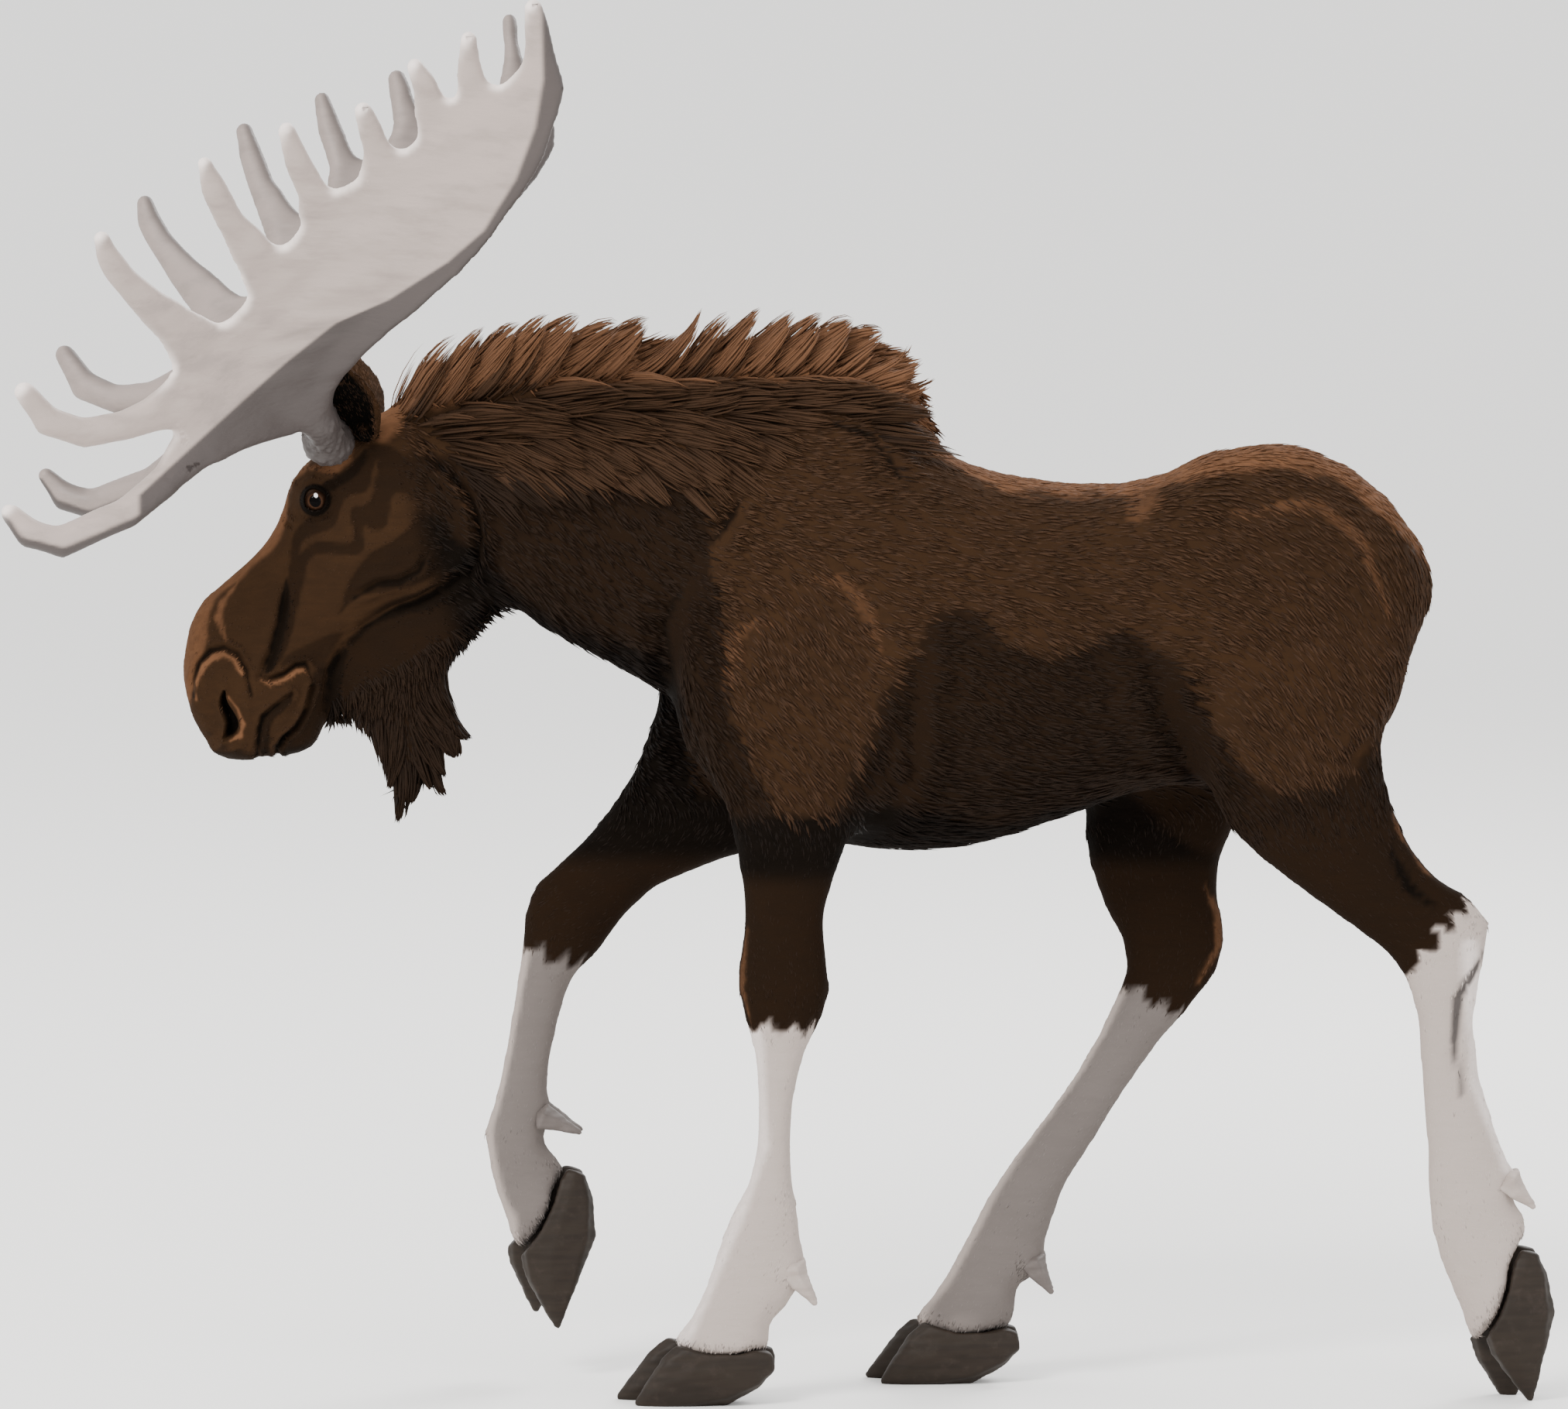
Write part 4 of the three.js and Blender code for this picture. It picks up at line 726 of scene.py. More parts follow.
def makeSkin():
    skin = joinedCopy(skinPlan["nodes"], "skin")
    voxelRemesh(skin, skinPlan["voxel"], skinPlan["overlap"])
    places = pointsOf(skin.data)
    x, y, z = places.T
    drop = crestHeight(x) - z
    lumpy = softStep(drop, -0.5, -0.45) * softStep(-drop, -0.24, -0.16)  # the crest's own locks
    lumpy *= softStep(x, -0.76, -0.70) * softStep(-x, -0.46, -0.38)
    hole = edgeAway(places, nostril["outline"])
    lumpy = np.maximum(lumpy, softStep(-hole, -0.034, -0.022) * (x < -0.94) * 1.4)
    slit, _ = lineDistance(places, faceFolds["mouth"][0])
    lumpy = np.maximum(lumpy, softStep(-slit, -0.022, -0.014) * (x < -0.85) * softStep(z, 1.2, 1.23))
    ends = softStep(-z, -1.24, -1.20) * (x > -0.80) * (x < -0.58) * (abs(y) < 0.08)  # of the bell
    lumpy = np.maximum(lumpy, ends)
    setPoints(skin.data, Relaxer(skin.data).relax(places, 60, 0.6 * lumpy))
    voxelRemesh(skin, skinPlan["voxel"], 0.0)
    dropScraps(skin)
    head, leg, _ = regions(pointsOf(skin.data))
    smoothForm(skin.data, 30, 0.5 * (1 - 0.6 * leg) * (1 - 0.7 * head))
    head, _, _ = regions(pointsOf(skin.data))
    refine(skin, head > 0.5)
    refineFace(skin, skinPlan["firstDetail"])
    refineFace(skin, skinPlan["secondDetail"])
    mesh = skin.data
    places = pointsOf(mesh)
    head, leg, _ = regions(places)
    places = Relaxer(mesh).relax(places, 5, 0.5 * head)
    setPoints(mesh, places)
    depth = skinPlan["coat"] * (1 - head) * (1 - leg) + skinPlan["faceCoat"] * head
    depth += skinPlan["legCoat"] * leg
    setPoints(mesh, places - normalsOf(mesh) * depth[:, None])
    sculpt(mesh)
    mesh.polygons.foreach_set("use_smooth", np.ones(len(mesh.polygons), bool))
    print("skin:", len(mesh.vertices), "points")
    return skin


def refineFace(skin, plan):  # smaller faces near the eyes, the nostrils and the folds of the face
    places = pointsOf(skin.data)
    x, y, z = places.T
    centre, radius = eyeFacts("left")
    chosen = np.hypot(x - centre[0], z - centre[2]) < radius * plan["eye"]
    chosen |= edgeAway(places, nostril["outline"]) < plan["nose"]
    if plan["fold"]:
        face = np.flatnonzero((x < -0.55) & (z > 1.15))
        for line, _, _ in faceFolds.values():
            chosen[face] |= lineDistance(places[face], line)[0] < plan["fold"]
    refine(skin, chosen & (abs(y) > plan["side"]) & (x < plan["back"]))


def sculpt(mesh):
    places = pointsOf(mesh)
    out = normalsOf(mesh)
    sideways = softStep(abs(out[:, 1]), 0.15, 0.5)
    push = np.zeros(len(places))
    for line, depth, width in bodyFolds.values():
        away, share = lineDistance(places, line)
        fade = np.sin(np.pi * np.clip(share, 0.06, 0.94))
        near = sideways * (places[:, 1] < 0) * fade
        away *= 1000
        push -= near * depth / 1000 * np.exp(-((away / width) ** 2))
        push += near * depth / 2200 * np.exp(-(((away - 2 * width) / width) ** 2))
    for leg in legNames:
        for part in ("outer", "inner"):
            away = np.linalg.norm(places - middleOf(f"{leg}_dewclaw_{part}") - spurSwell["from"], axis=1)
            push += spurSwell["rise"] * np.exp(-(away / spurSwell["wide"]) ** 2)
            away = np.linalg.norm(places - middleOf(f"{leg}_claw_{part}"), axis=1)
            push += spurSwell["foot"] * softStep(-away, *spurSwell["footZone"])
    for x, z, hand in pasternNotches:
        away = np.hypot(places[:, 0] - x / 1000, places[:, 2] - z / 1000) / notchPlan["wide"]
        behind = softStep(out[:, 0] - out[:, 2] * 0.5, 0.0, 0.6)
        push -= (places[:, 1] * hand > 0) * notchPlan["depth"] * np.exp(-away ** 2) * behind
    face = np.flatnonzero((places[:, 0] < -0.52) & (places[:, 2] > 1.15))
    spot, flatFace = places[face], softStep(abs(out[face, 1]), 0.05, 0.3)
    under = np.maximum(flatFace, 0.5 * softStep(-spot[:, 2], -1.225, -1.205))
    for name, (line, depth, width) in faceFolds.items():
        away, share = lineDistance(spot, line)
        away *= 1000
        toEdge = name in ("mouth", "lipFold")  # these run on round the lips
        fade = under if toEdge else flatFace * np.clip(np.sin(np.pi * np.clip(share, 0.04, 0.96)) * 1.8, 0, 1)
        push[face] -= fade * depth / 1000 * np.exp(-((away / width) ** 2))
        push[face] += fade * depth / 2600 * np.exp(-(((away - 2 * width) / width) ** 2))
    for name, (outline, height, soft) in faceRelief.items():
        shown = 1.0 if name == "lobe" else flatFace
        push[face] += shown * height / 1000 * insideOf(spot, outline, soft / 1000)
    away = edgeAway(spot, nostril["outline"]) / nostril["wide"]
    inside = insideOf(spot, nostril["outline"], nostril["soft"])
    outer = abs(spot[:, 1]) > 0.03
    push[face] += outer * nostril["ridge"] / 1000 * np.exp(-away ** 2) * (1 - inside)
    push[face] -= outer * nostril["depth"] / 1000 * inside
    places = places + out * push[:, None]
    for side in hands:
        places = shapeLids(places, side)
    places[:, 2] = np.maximum(places[:, 2], 0.004)
    setPoints(mesh, places)


def shapeLids(places, side):
    centre, radius = eyeFacts(side)
    offset = places - centre
    along, over = slanted(offset)
    along, over = along / (radius * eyePlan["almondLong"]), over / (radius * eyePlan["almondTall"])
    almond = np.abs(over) / np.clip(1 - along ** 2, 0.02, 1) ** 0.8 * np.where(over > 0, 0.92, 1.2)
    almond = np.where(np.abs(along) < 1, almond, 9)
    flat = np.hypot(offset[:, 0], offset[:, 2])
    mine = (places[:, 1] * hands[side] > 0.02) & (flat < radius * 2.3)
    rise = radius + eyePlan["lid"]
    dome = np.sqrt(np.clip(rise ** 2 - flat ** 2, 0, None))
    reach = offset[:, 1] * hands[side]
    lid = mine * softStep(-flat, -radius * 1.5, -radius * 0.95)
    target = np.maximum(reach, dome)
    reach = reach + lid * (target - reach)
    opening = mine * softStep(-almond, -1.25, -0.85)
    inside = np.sqrt(np.clip((radius - 0.004) ** 2 - flat ** 2, 0, None)) - 0.004
    reach = reach + opening * (inside - reach)
    result = places.copy()
    result[:, 1] = centre[1] + reach * hands[side]
    return result


# coat colours; the lighter and darker pale tones and the far shadow are painted highlight and painted shade
# on the legs, the tufts' shadow tones are painted shade at their roots, the tufts' end tones are painted
# sheen, and the ear's hollow tone is painted shade
coatTones = tones(
    base=(45, 30, 18), light=(98, 67, 46), dark=(27, 17, 9), darkest=(8, 5, 3),
    pale=(160, 148, 141), paleLight=(202, 191, 186), paleShade=(78, 73, 71), farShadow=(66, 61, 59),
    skinShadow=(19, 14, 10), skinPaleShadow=(150, 139, 132),
    hairShadow=(17, 12, 9), hairPaleShadow=(152, 141, 134),
    hairEnds=(112, 80, 58), hairPaleEnds=(214, 205, 200), earHollow=(5, 4, 3))


def coatColours(shader):  # the coat's colour by its masks, and how pale and how dark it is
    pale, light, dark = shader.masks("coat")
    depth = shader.node("ShaderNodeAttribute", {"attribute_name": "coat"}, None, "Alpha")
    base = shader.mixed(light, coatTones["base"], coatTones["light"])
    base = shader.mixed(dark, base, coatTones["dark"])
    base = shader.mixed(depth, base, coatTones["darkest"])
    # pale legs: the lighter tone is painted highlight, the darker one painted shade on the far legs and in
    # the tendon's groove
    legs = shader.mixed(light, coatTones["pale"], coatTones["paleLight"])
    legs = shader.mixed(dark, legs, coatTones["paleShade"])
    return shader.mixed(pale, base, legs), pale, dark


def skinLook():
    shader = Finish("skinLook", Roughness=0.85, Specular_IOR_Level=0.03)
    colour, pale, dark = coatColours(shader)
    patches = shader.noise(7, 5, 0.6)
    strands = shader.noise(38, 4, 0.6, shader.placed((0.3, 2.2, 1.6)))
    shade = shader.stretch(patches * 0.5 + strands * 0.5, 0.32, 0.68)
    paleShadow = shader.mixed(dark, coatTones["skinPaleShadow"], coatTones["farShadow"])
    shadow = shader.mixed(pale, coatTones["skinShadow"], paleShadow)
    shader.feed("Base Color", shader.mixed(shade * 0.35, colour, shadow))
    shader.feed("Normal", shader.bump(strands, 0.5, 0.004))
    return shader.material


def hairLook():
    shader = Finish("hairLook", Roughness=0.65, Specular_IOR_Level=0.06)
    colour, pale, dark = coatColours(shader)
    luck, along, shine = shader.masks("strand")
    paleShadow = shader.mixed(dark, coatTones["hairPaleShadow"], coatTones["farShadow"])
    shadow = shader.mixed(pale, coatTones["hairShadow"], paleShadow)
    # painted shade at the roots of the tufts, fading towards their tips
    deep = shader.mixed((1 - along) * (0.5 - 0.3 * pale), colour, shadow)
    # painted sheen on the tips of the tufts, weaker where the coat is dark
    gleam = shader.mixed(pale, coatTones["hairEnds"], coatTones["hairPaleEnds"])
    shader.feed("Base Color", shader.mixed(along * luck * shine * (1 - 0.85 * dark), deep, gleam))
    return shader.material


# bone colours: shade darkens the grain clouds and is the painted shade on the rear edge and the far antler;
# the lightest tone is painted highlight on the near antler's upper edges; burr is the darker rough burr
antlerTones = tones(bone=(158, 144, 137), shade=(64, 57, 55), bright=(236, 224, 218), burr=(52, 46, 44))
antlerTurn = (0, math.radians(-40), 0)  # the grain runs along the beam
# the far dewclaws are the pale horn darkened as painted shade on the far side
hornTones = {
    "hoof": tones(plain=(36, 29, 23), streak=(20, 15, 12), worn=(56, 47, 41)),
    "nearSpur": tones(plain=(160, 148, 141), streak=(128, 116, 108), worn=(176, 166, 160)),
    "farSpur": tones(plain=(92, 85, 82), streak=(70, 64, 61), worn=(112, 104, 100)),
}


def antlerLook():
    shader = Finish("antlerLook", Roughness=0.5, Specular_IOR_Level=0.35)
    # edge is painted highlight, rough is the burr, rear is painted shade
    edge, rough, rear = shader.masks("bone")
    grain = shader.noise(16, 6, 0.6, shader.placed((0.5, 1.6, 1.6), antlerTurn))
    veins = shader.noise(70, 3, 0.5, shader.placed((0.35, 1.4, 1.4), antlerTurn))
    clouds = shader.stretch(grain, 0.42, 0.72) * 0.22
    colour = shader.mixed(clouds, antlerTones["bone"], antlerTones["shade"])
    # painted shade on the rear edge, under the brow and over the far antler
    colour = shader.mixed(rear, colour, antlerTones["shade"])
    # painted highlight along the near antler's upper edges
    colour = shader.mixed(edge * 0.9, colour, antlerTones["bright"])
    colour = shader.mixed(rough * (0.35 + 0.5 * grain), colour, antlerTones["burr"])
    shader.feed("Base Color", colour)
    shader.feed("Normal", shader.bump(veins + grain * 0.6, 0.4, 0.003))
    return shader.material


def hornLook(kind):
    shades = hornTones[kind]
    shader = Finish(kind + "Look", Roughness=0.55, Specular_IOR_Level=0.15)
    rings = shader.noise(60, 2, 0.5, shader.placed((0.12, 0.12, 1.2)))
    wear = shader.noise(40, 5, 0.65)
    colour = shader.mixed(shader.stretch(rings, 0.4, 0.65) * 0.35, shades["plain"], shades["streak"])
    shader.feed("Base Color", shader.mixed(shader.stretch(wear, 0.5, 0.75) * 0.35, colour, shades["worn"]))
    shader.feed("Normal", shader.bump(rings * 0.6 + wear * 0.4, 0.3, 0.002))
    return shader.material


def earLook():
    shader = Finish("earLook", Roughness=0.85, Specular_IOR_Level=0.03)
    inner = shader.masks("cup")[0]
    strands = shader.noise(60, 4, 0.6)
    colour = shader.mixed(shader.stretch(strands, 0.35, 0.7) * 0.6, coatTones["base"], coatTones["dark"])
    # painted shade fills the ear's cup
    shader.feed("Base Color", shader.mixed(inner, colour, coatTones["earHollow"]))
    shader.feed("Normal", shader.bump(strands, 0.5, 0.003))
    return shader.material


# eye colours; the glint is a painted reflection of the lamp
eyeTones = tones(
    iris=(66, 42, 27), rim=(30, 18, 11), white=(40, 28, 20), pupil=(4, 3, 3), glint=(235, 232, 230))
eyeSpots = {  # share of the eye's radius
    "pupil": {"long": 0.5, "tall": 0.55},
    "glint": {"at": (0.26, 0.38), "long": 0.17, "tall": 0.21},
}


def eyeLook():
    shader = Finish("eyeLook", Roughness=0.4, Coat_Weight=0.06, Coat_Roughness=0.03, Specular_IOR_Level=0.0)
    long, tall = [channel * 2 - 1 for channel in shader.masks("gaze")[:2]]
    size, spot = eyeSpots["pupil"], eyeSpots["glint"]
    iris = (long * long + tall * tall) ** 0.5
    wide, high = long / size["long"], tall / size["tall"]
    pupil = (wide * wide + high * high) ** 0.5
    wide, high = (long - spot["at"][0]) / spot["long"], (tall - spot["at"][1]) / spot["tall"]
    glint = (wide * wide + high * high) ** 0.5
    colour = shader.mixed(shader.stretch(iris, 0.35, 0.72), eyeTones["iris"], eyeTones["rim"])
    colour = shader.mixed(shader.stretch(iris, 0.78, 0.84), colour, eyeTones["white"])
    colour = shader.mixed(shader.stretch(pupil, 0.85, 1.0), eyeTones["pupil"], colour)
    # painted reflection: a white glint by the pupil
    shader.feed("Base Color", shader.mixed(shader.stretch(glint, 0.8, 1.0), eyeTones["glint"], colour))
    return shader.material


def finishPiece(item, material, slot, *replaced):
    item.data.materials.clear()
    item.data.materials.append(material)
    item.data.polygons.foreach_set("use_smooth", np.ones(len(item.data.polygons), bool))
    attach(item, root)
    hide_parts(*replaced)
    return item


antlerPlan = {
    "voxel": 0.0045, "overlap": 0.004, "shrink": 0.0015, "rounds": 60, "keep": 24,
    "fork": {"at": (-1.05, 1.87), "zone": (-0.13, -0.07), "front": -1.10},
    "valley": (-0.055, -0.03),  # how far round each valley the form is softened
    "burr": {"at": (-0.836, 0.085, 1.770), "zone": (-0.15, -0.05), "rise": 0.003, "pearls": 0.006},
    "gutters": 0.0016,
    "swell": 0.004,  # how much thin places are thickened
    "brow": {"height": (-1.78, -1.70), "front": (1.08, 1.16), "below": (0.0, 0.35)},  # painted shade on the underside
}
antlerValleys = [(-1120, 1915), (-1000, 2035), (-895, 2165), (-790, 2262), (-675, 2345), (-600, 2415),
                 (-505, 2440), (-1080, 1737)]  # seen from the side in mm
# where the painted shade along the rear edge begins
antlerShade = [(-1170, 1692), (-1012, 1834), (-908, 1927), (-813, 2004), (-717, 2048), (-607, 2122),
               (-541, 2181), (-482, 2276), (-446, 2372), (-431, 2460), (-432, 2540)]


def makeAntler(side, material):
    names = [f"antler_{side}_palm", f"antler_{side}_brow"]
    antler = joinedCopy(names, f"antler_{side}")
    voxelRemesh(antler, antlerPlan["voxel"], antlerPlan["overlap"])
    dropScraps(antler)
    mesh = antler.data
    setPoints(mesh, pointsOf(mesh) - normalsOf(mesh) * antlerPlan["shrink"])
    places = pointsOf(mesh)
    x, _, z = places.T
    fork = antlerPlan["fork"]
    soft = softStep(-np.hypot(x - fork["at"][0], z - fork["at"][1]), *fork["zone"]) * (x > fork["front"])
    for valley in sideView(antlerValleys):
        soft = np.maximum(soft, softStep(-np.hypot(x - valley[0], z - valley[1]), *antlerPlan["valley"]))
    setPoints(mesh, Relaxer(mesh).relax(places, 50, 0.6 * soft))
    voxelRemesh(antler, antlerPlan["voxel"], 0)  # closes the pits that the fork leaves
    dropScraps(antler)
    mesh = antler.data
    smoothForm(mesh, antlerPlan["rounds"], 0.5, antlerPlan["keep"])
    places, out = pointsOf(mesh), normalsOf(mesh)
    burr = antlerPlan["burr"]
    away = np.linalg.norm(places - np.array(burr["at"]) * (1, hands[side], 1), axis=1)
    near = softStep(-away, *burr["zone"])
    pearls = np.maximum(ripple(places, 330, 21) * ripple(places, 300, 22), -0.2)
    turned = places @ np.array([[0.77, 0, 0.64], [0, 1, 0], [-0.64, 0, 0.77]])  # x runs along the beam
    gutters = ripple(turned * (1.0, 1.0, 0.22), 95, 25)
    relaxer = Relaxer(mesh)
    thin = softStep(1 - np.linalg.norm(relaxer.relax(out, 36, 0.5), axis=1), 0.08, 0.32)
    swell = antlerPlan["swell"] * relaxer.relax(thin, 10)
    push = near * (burr["rise"] + burr["pearls"] * pearls)
    push += (antlerPlan["gutters"] * gutters + swell) * (1 - near)
    places = places + out * push[:, None]
    setPoints(mesh, places)
    # painted highlight along the thin edges of the tines and the palm
    edge = softStep(1 - np.linalg.norm(relaxer.relax(out, 14, 0.5), axis=1), 0.08, 0.26)
    line = sideView(antlerShade)
    # painted shade behind the line, under the brow tines and over the far antler, more on its back
    rear = softStep(places[:, 0] - np.interp(places[:, 2], line[:, 1], line[:, 0]), -0.006, 0.006)
    brow = antlerPlan["brow"]
    under = softStep(-places[:, 2], *brow["height"]) * softStep(-places[:, 0], *brow["front"])
    rear = np.maximum(rear, under * softStep(-out[:, 2], *brow["below"]))
    # the highlight stays on the near antler's edges that face forwards and up
    edge = edge * softStep(-out[:, 0] + 0.6 * out[:, 2], -0.5, 0.1) * (side == "left")
    rear = np.maximum(rear, (0.35 + 0.5 * softStep(out[:, 0], -0.4, 0.5)) * (side == "right"))
    edge = relaxer.relax(edge, 6) * (1 - 0.6 * rear)
    paintMasks(mesh, "bone", np.stack([edge, near, rear, near * 0], 1))
    return finishPiece(antler, material, "antler", *names)


earPlan = {
    "root": (-0.764, 0.076, 1.778), "axis": (-0.20, 0.62, 0.75), "opens": (-0.35, 0.72, -0.30), "long": 0.175,
    "halfWidth": ([0, 0.14, 0.34, 0.56, 0.76, 0.9, 1], [0.023, 0.032, 0.042, 0.046, 0.035, 0.019, 0.004]),
    "front": 0.010, "frontEdge": (0.0, 0.035), "wall": 0.007, "voxel": 0.0030,
    "density": 42000, "hair": 0.012,
}


def earFrame(side):  # root, axis, opening and width of one ear
    start, axis, opens = (np.array(earPlan[key]) * (1, hands[side], 1) for key in ("root", "axis", "opens"))
    axis = axis / np.linalg.norm(axis)
    opens = opens - axis * (opens @ axis)
    opens /= np.linalg.norm(opens)
    return start, axis, opens, np.cross(axis, opens)


def earCup(side, places, out, widened=True):  # how much each point belongs to the inside of the cup
    start, axis, opens, across = earFrame(side)
    rise = (places - start) @ axis
    aside = (places - start) @ across
    rim = np.interp(rise / earPlan["long"], *earPlan["halfWidth"])
    inward = softStep(-(out @ across) * np.sign(aside), 0.1, 0.4) * (np.abs(aside) > 0.01)
    rim = rim + widened * earPlan["front"] * softStep(earFront(side, places), *earPlan["frontEdge"])
    within = softStep(rim - earPlan["wall"] - np.abs(aside), -0.002, 0.003)
    return softStep(np.maximum(out @ opens, inward), 0.1, 0.35) * within


def earFront(side, places):  # metres in front of the ear's middle line
    start, _, _, across = earFrame(side)
    return (places - start) @ across * hands[side]


def makeEar(side, material, hairMaterial):
    ear = joinedCopy([f"ear_{side}"], f"ear_{side}")
    voxelRemesh(ear, earPlan["voxel"], 0.001)
    dropScraps(ear)
    mesh = ear.data
    smoothForm(mesh, 6, 0.5)
    places, out = pointsOf(mesh), normalsOf(mesh)
    cup = Relaxer(mesh).relax(earCup(side, places, out, False), 2)
    _, axis, opens, across = earFrame(side)
    front = softStep(earFront(side, places), *earPlan["frontEdge"]) * earPlan["front"] * hands[side]
    setPoints(mesh, places - out * (0.0015 + 0.003 * cup)[:, None] + across * front[:, None])
    paintMasks(mesh, "cup", np.stack([cup, cup, cup, cup], 1))
    unwrap(ear)
    finishPiece(ear, material, "coat", f"ear_{side}")
    ground = Ground(ear, lambda place, out: alongSkin(axis + opens * 0.25, out),
                    lambda place, out: earMasks(side, place, out))
    roots = ground.roots(np.full(len(ground.area), earPlan["density"]), 51)
    inside = earCup(side, roots["place"], roots["out"])
    rim = np.exp(-((inside - 0.5) / 0.3) ** 2)
    hair = Hair(tuftForm)
    long = earPlan["hair"] * (0.7 + 0.6 * roots["luck"]) * (1 + 0.9 * rim)
    hair.add(roots, long, 0.0028, 0.16 + 0.35 * rim, 0.1, 0.4, sink=0.001)
    hair.build(f"ear_{side}_hair", hairMaterial)
    return ear


def earMasks(side, places, out):
    cup = earCup(side, places, out)
    none = np.zeros(len(places))
    # hair inside the cup takes the darkest tone as painted shade
    return np.stack([none, 0.12 * (1 - cup), none, cup], 1)


def alongSkin(way, out):  # a direction laid flat on the skin
    way = way - out * (way * out).sum(1)[:, None]
    return way / np.maximum(np.linalg.norm(way, axis=1), 1e-6)[:, None]


def unwrap(item):
    chooseOnly(item)
    bpy.ops.object.mode_set(mode="EDIT")
    bpy.ops.mesh.select_all(action="SELECT")
    bpy.ops.uv.smart_project(angle_limit=math.radians(66), island_margin=0.002)
    bpy.ops.object.mode_set(mode="OBJECT")
    item.data.uv_layers[0].name = "OFBake"


def makeEye(side, material):
    centre, radius = eyeFacts(side)
    bpy.ops.object.select_all(action="DESELECT")
    bpy.ops.mesh.primitive_uv_sphere_add(segments=48, ring_count=24, radius=radius, location=centre)
    bpy.ops.object.transform_apply(location=True, rotation=True, scale=True)
    eye = bpy.context.object
    eye.name = f"eyeball_{side}"
    offset = (pointsOf(eye.data) - centre) / radius
    long, tall = slanted(offset)
    paintMasks(eye.data, "gaze", np.stack([long, tall, long * 0, long * 0], 1) / 2 + 0.5)
    return finishPiece(eye, material, "eye", f"eye_{side}")


clawSteps = {  # how far the heel and the toe of a claw stand back from the frame's, in metres
    "foreleg_left_claw_outer": (0.0, 0.012),
    "foreleg_right_claw_inner": (0.004, 0.030),
    "foreleg_right_claw_outer": (-0.002, -0.022),
    "hindleg_left_claw_outer": (0.003, 0.026),
    "hindleg_right_claw_inner": (0.0, 0.034),
    "hindleg_right_claw_outer": (0.0, -0.016),
}
hoofPlan = {
    "voxel": {"claw_outer": 0.0042, "claw_inner": 0.0042, "dewclaw_outer": 0.0032, "dewclaw_inner": 0.0032},
    "overlap": 0.0004,
    "spread": 0.35,  # how much wider a dewclaw is at its root
    "sole": 0.012,
    "rings": 0.0007,
}


def shapeClaw(name, places):
    if name in clawSteps:
        heel, toe = clawSteps[name]
        start = places[(places[:, 0] + 0.5 * places[:, 2]).argmax()]
        away = np.linalg.norm(places - start, axis=1)
        places[:, 0] += heel + (toe - heel) * (away / away.max()) ** 1.3
    if "dewclaw" in name:
        _, away = legOf(places)
        root, tip = places[away < np.quantile(away, 0.15)].mean(0), places[away.argmax()]
        run = tip - root
        share = np.clip((places - root) @ run / (run @ run), 0, 1)
        spread = 1 + hoofPlan["spread"] * (1 - share) ** 2
        places = root + share[:, None] * run + (places - root - share[:, None] * run) * spread[:, None]
    return places


def makeHooves(hoofHorn, nearSpur, farSpur):
    for leg in legNames:
        for part, voxel in hoofPlan["voxel"].items():
            name = f"{leg}_{part}"
            claw = joinedCopy([name], f"{name}_horn")
            voxelRemesh(claw, voxel, hoofPlan["overlap"])
            mesh = claw.data
            smoothForm(mesh, 10, 0.5, 6)
            places = shapeClaw(name, pointsOf(mesh))
            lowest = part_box(name)[0].z
            flat = softStep(lowest + hoofPlan["sole"] - places[:, 2], -0.002, 0.004) * (lowest < 0.001)
            rings = hoofPlan["rings"] * ripple(places * (0.4, 0.4, 1.5), 330, 31)
            places += normalsOf(mesh) * rings[:, None] * (1 - flat[:, None])
            places[:, 2] = np.maximum(places[:, 2], lowest)
            setPoints(mesh, places)
            spur = nearSpur if "left" in leg else farSpur
            finishPiece(claw, spur if "dewclaw" in part else hoofHorn, "hoof", name)


tuftForm = {"sides": 3, "shares": (0.0, 0.5), "girth": (0.8, 1.0)}
lockForm = {"sides": 4, "shares": (0.0, 0.28, 0.56, 0.82), "girth": (0.65, 1.0, 0.85, 0.45)}


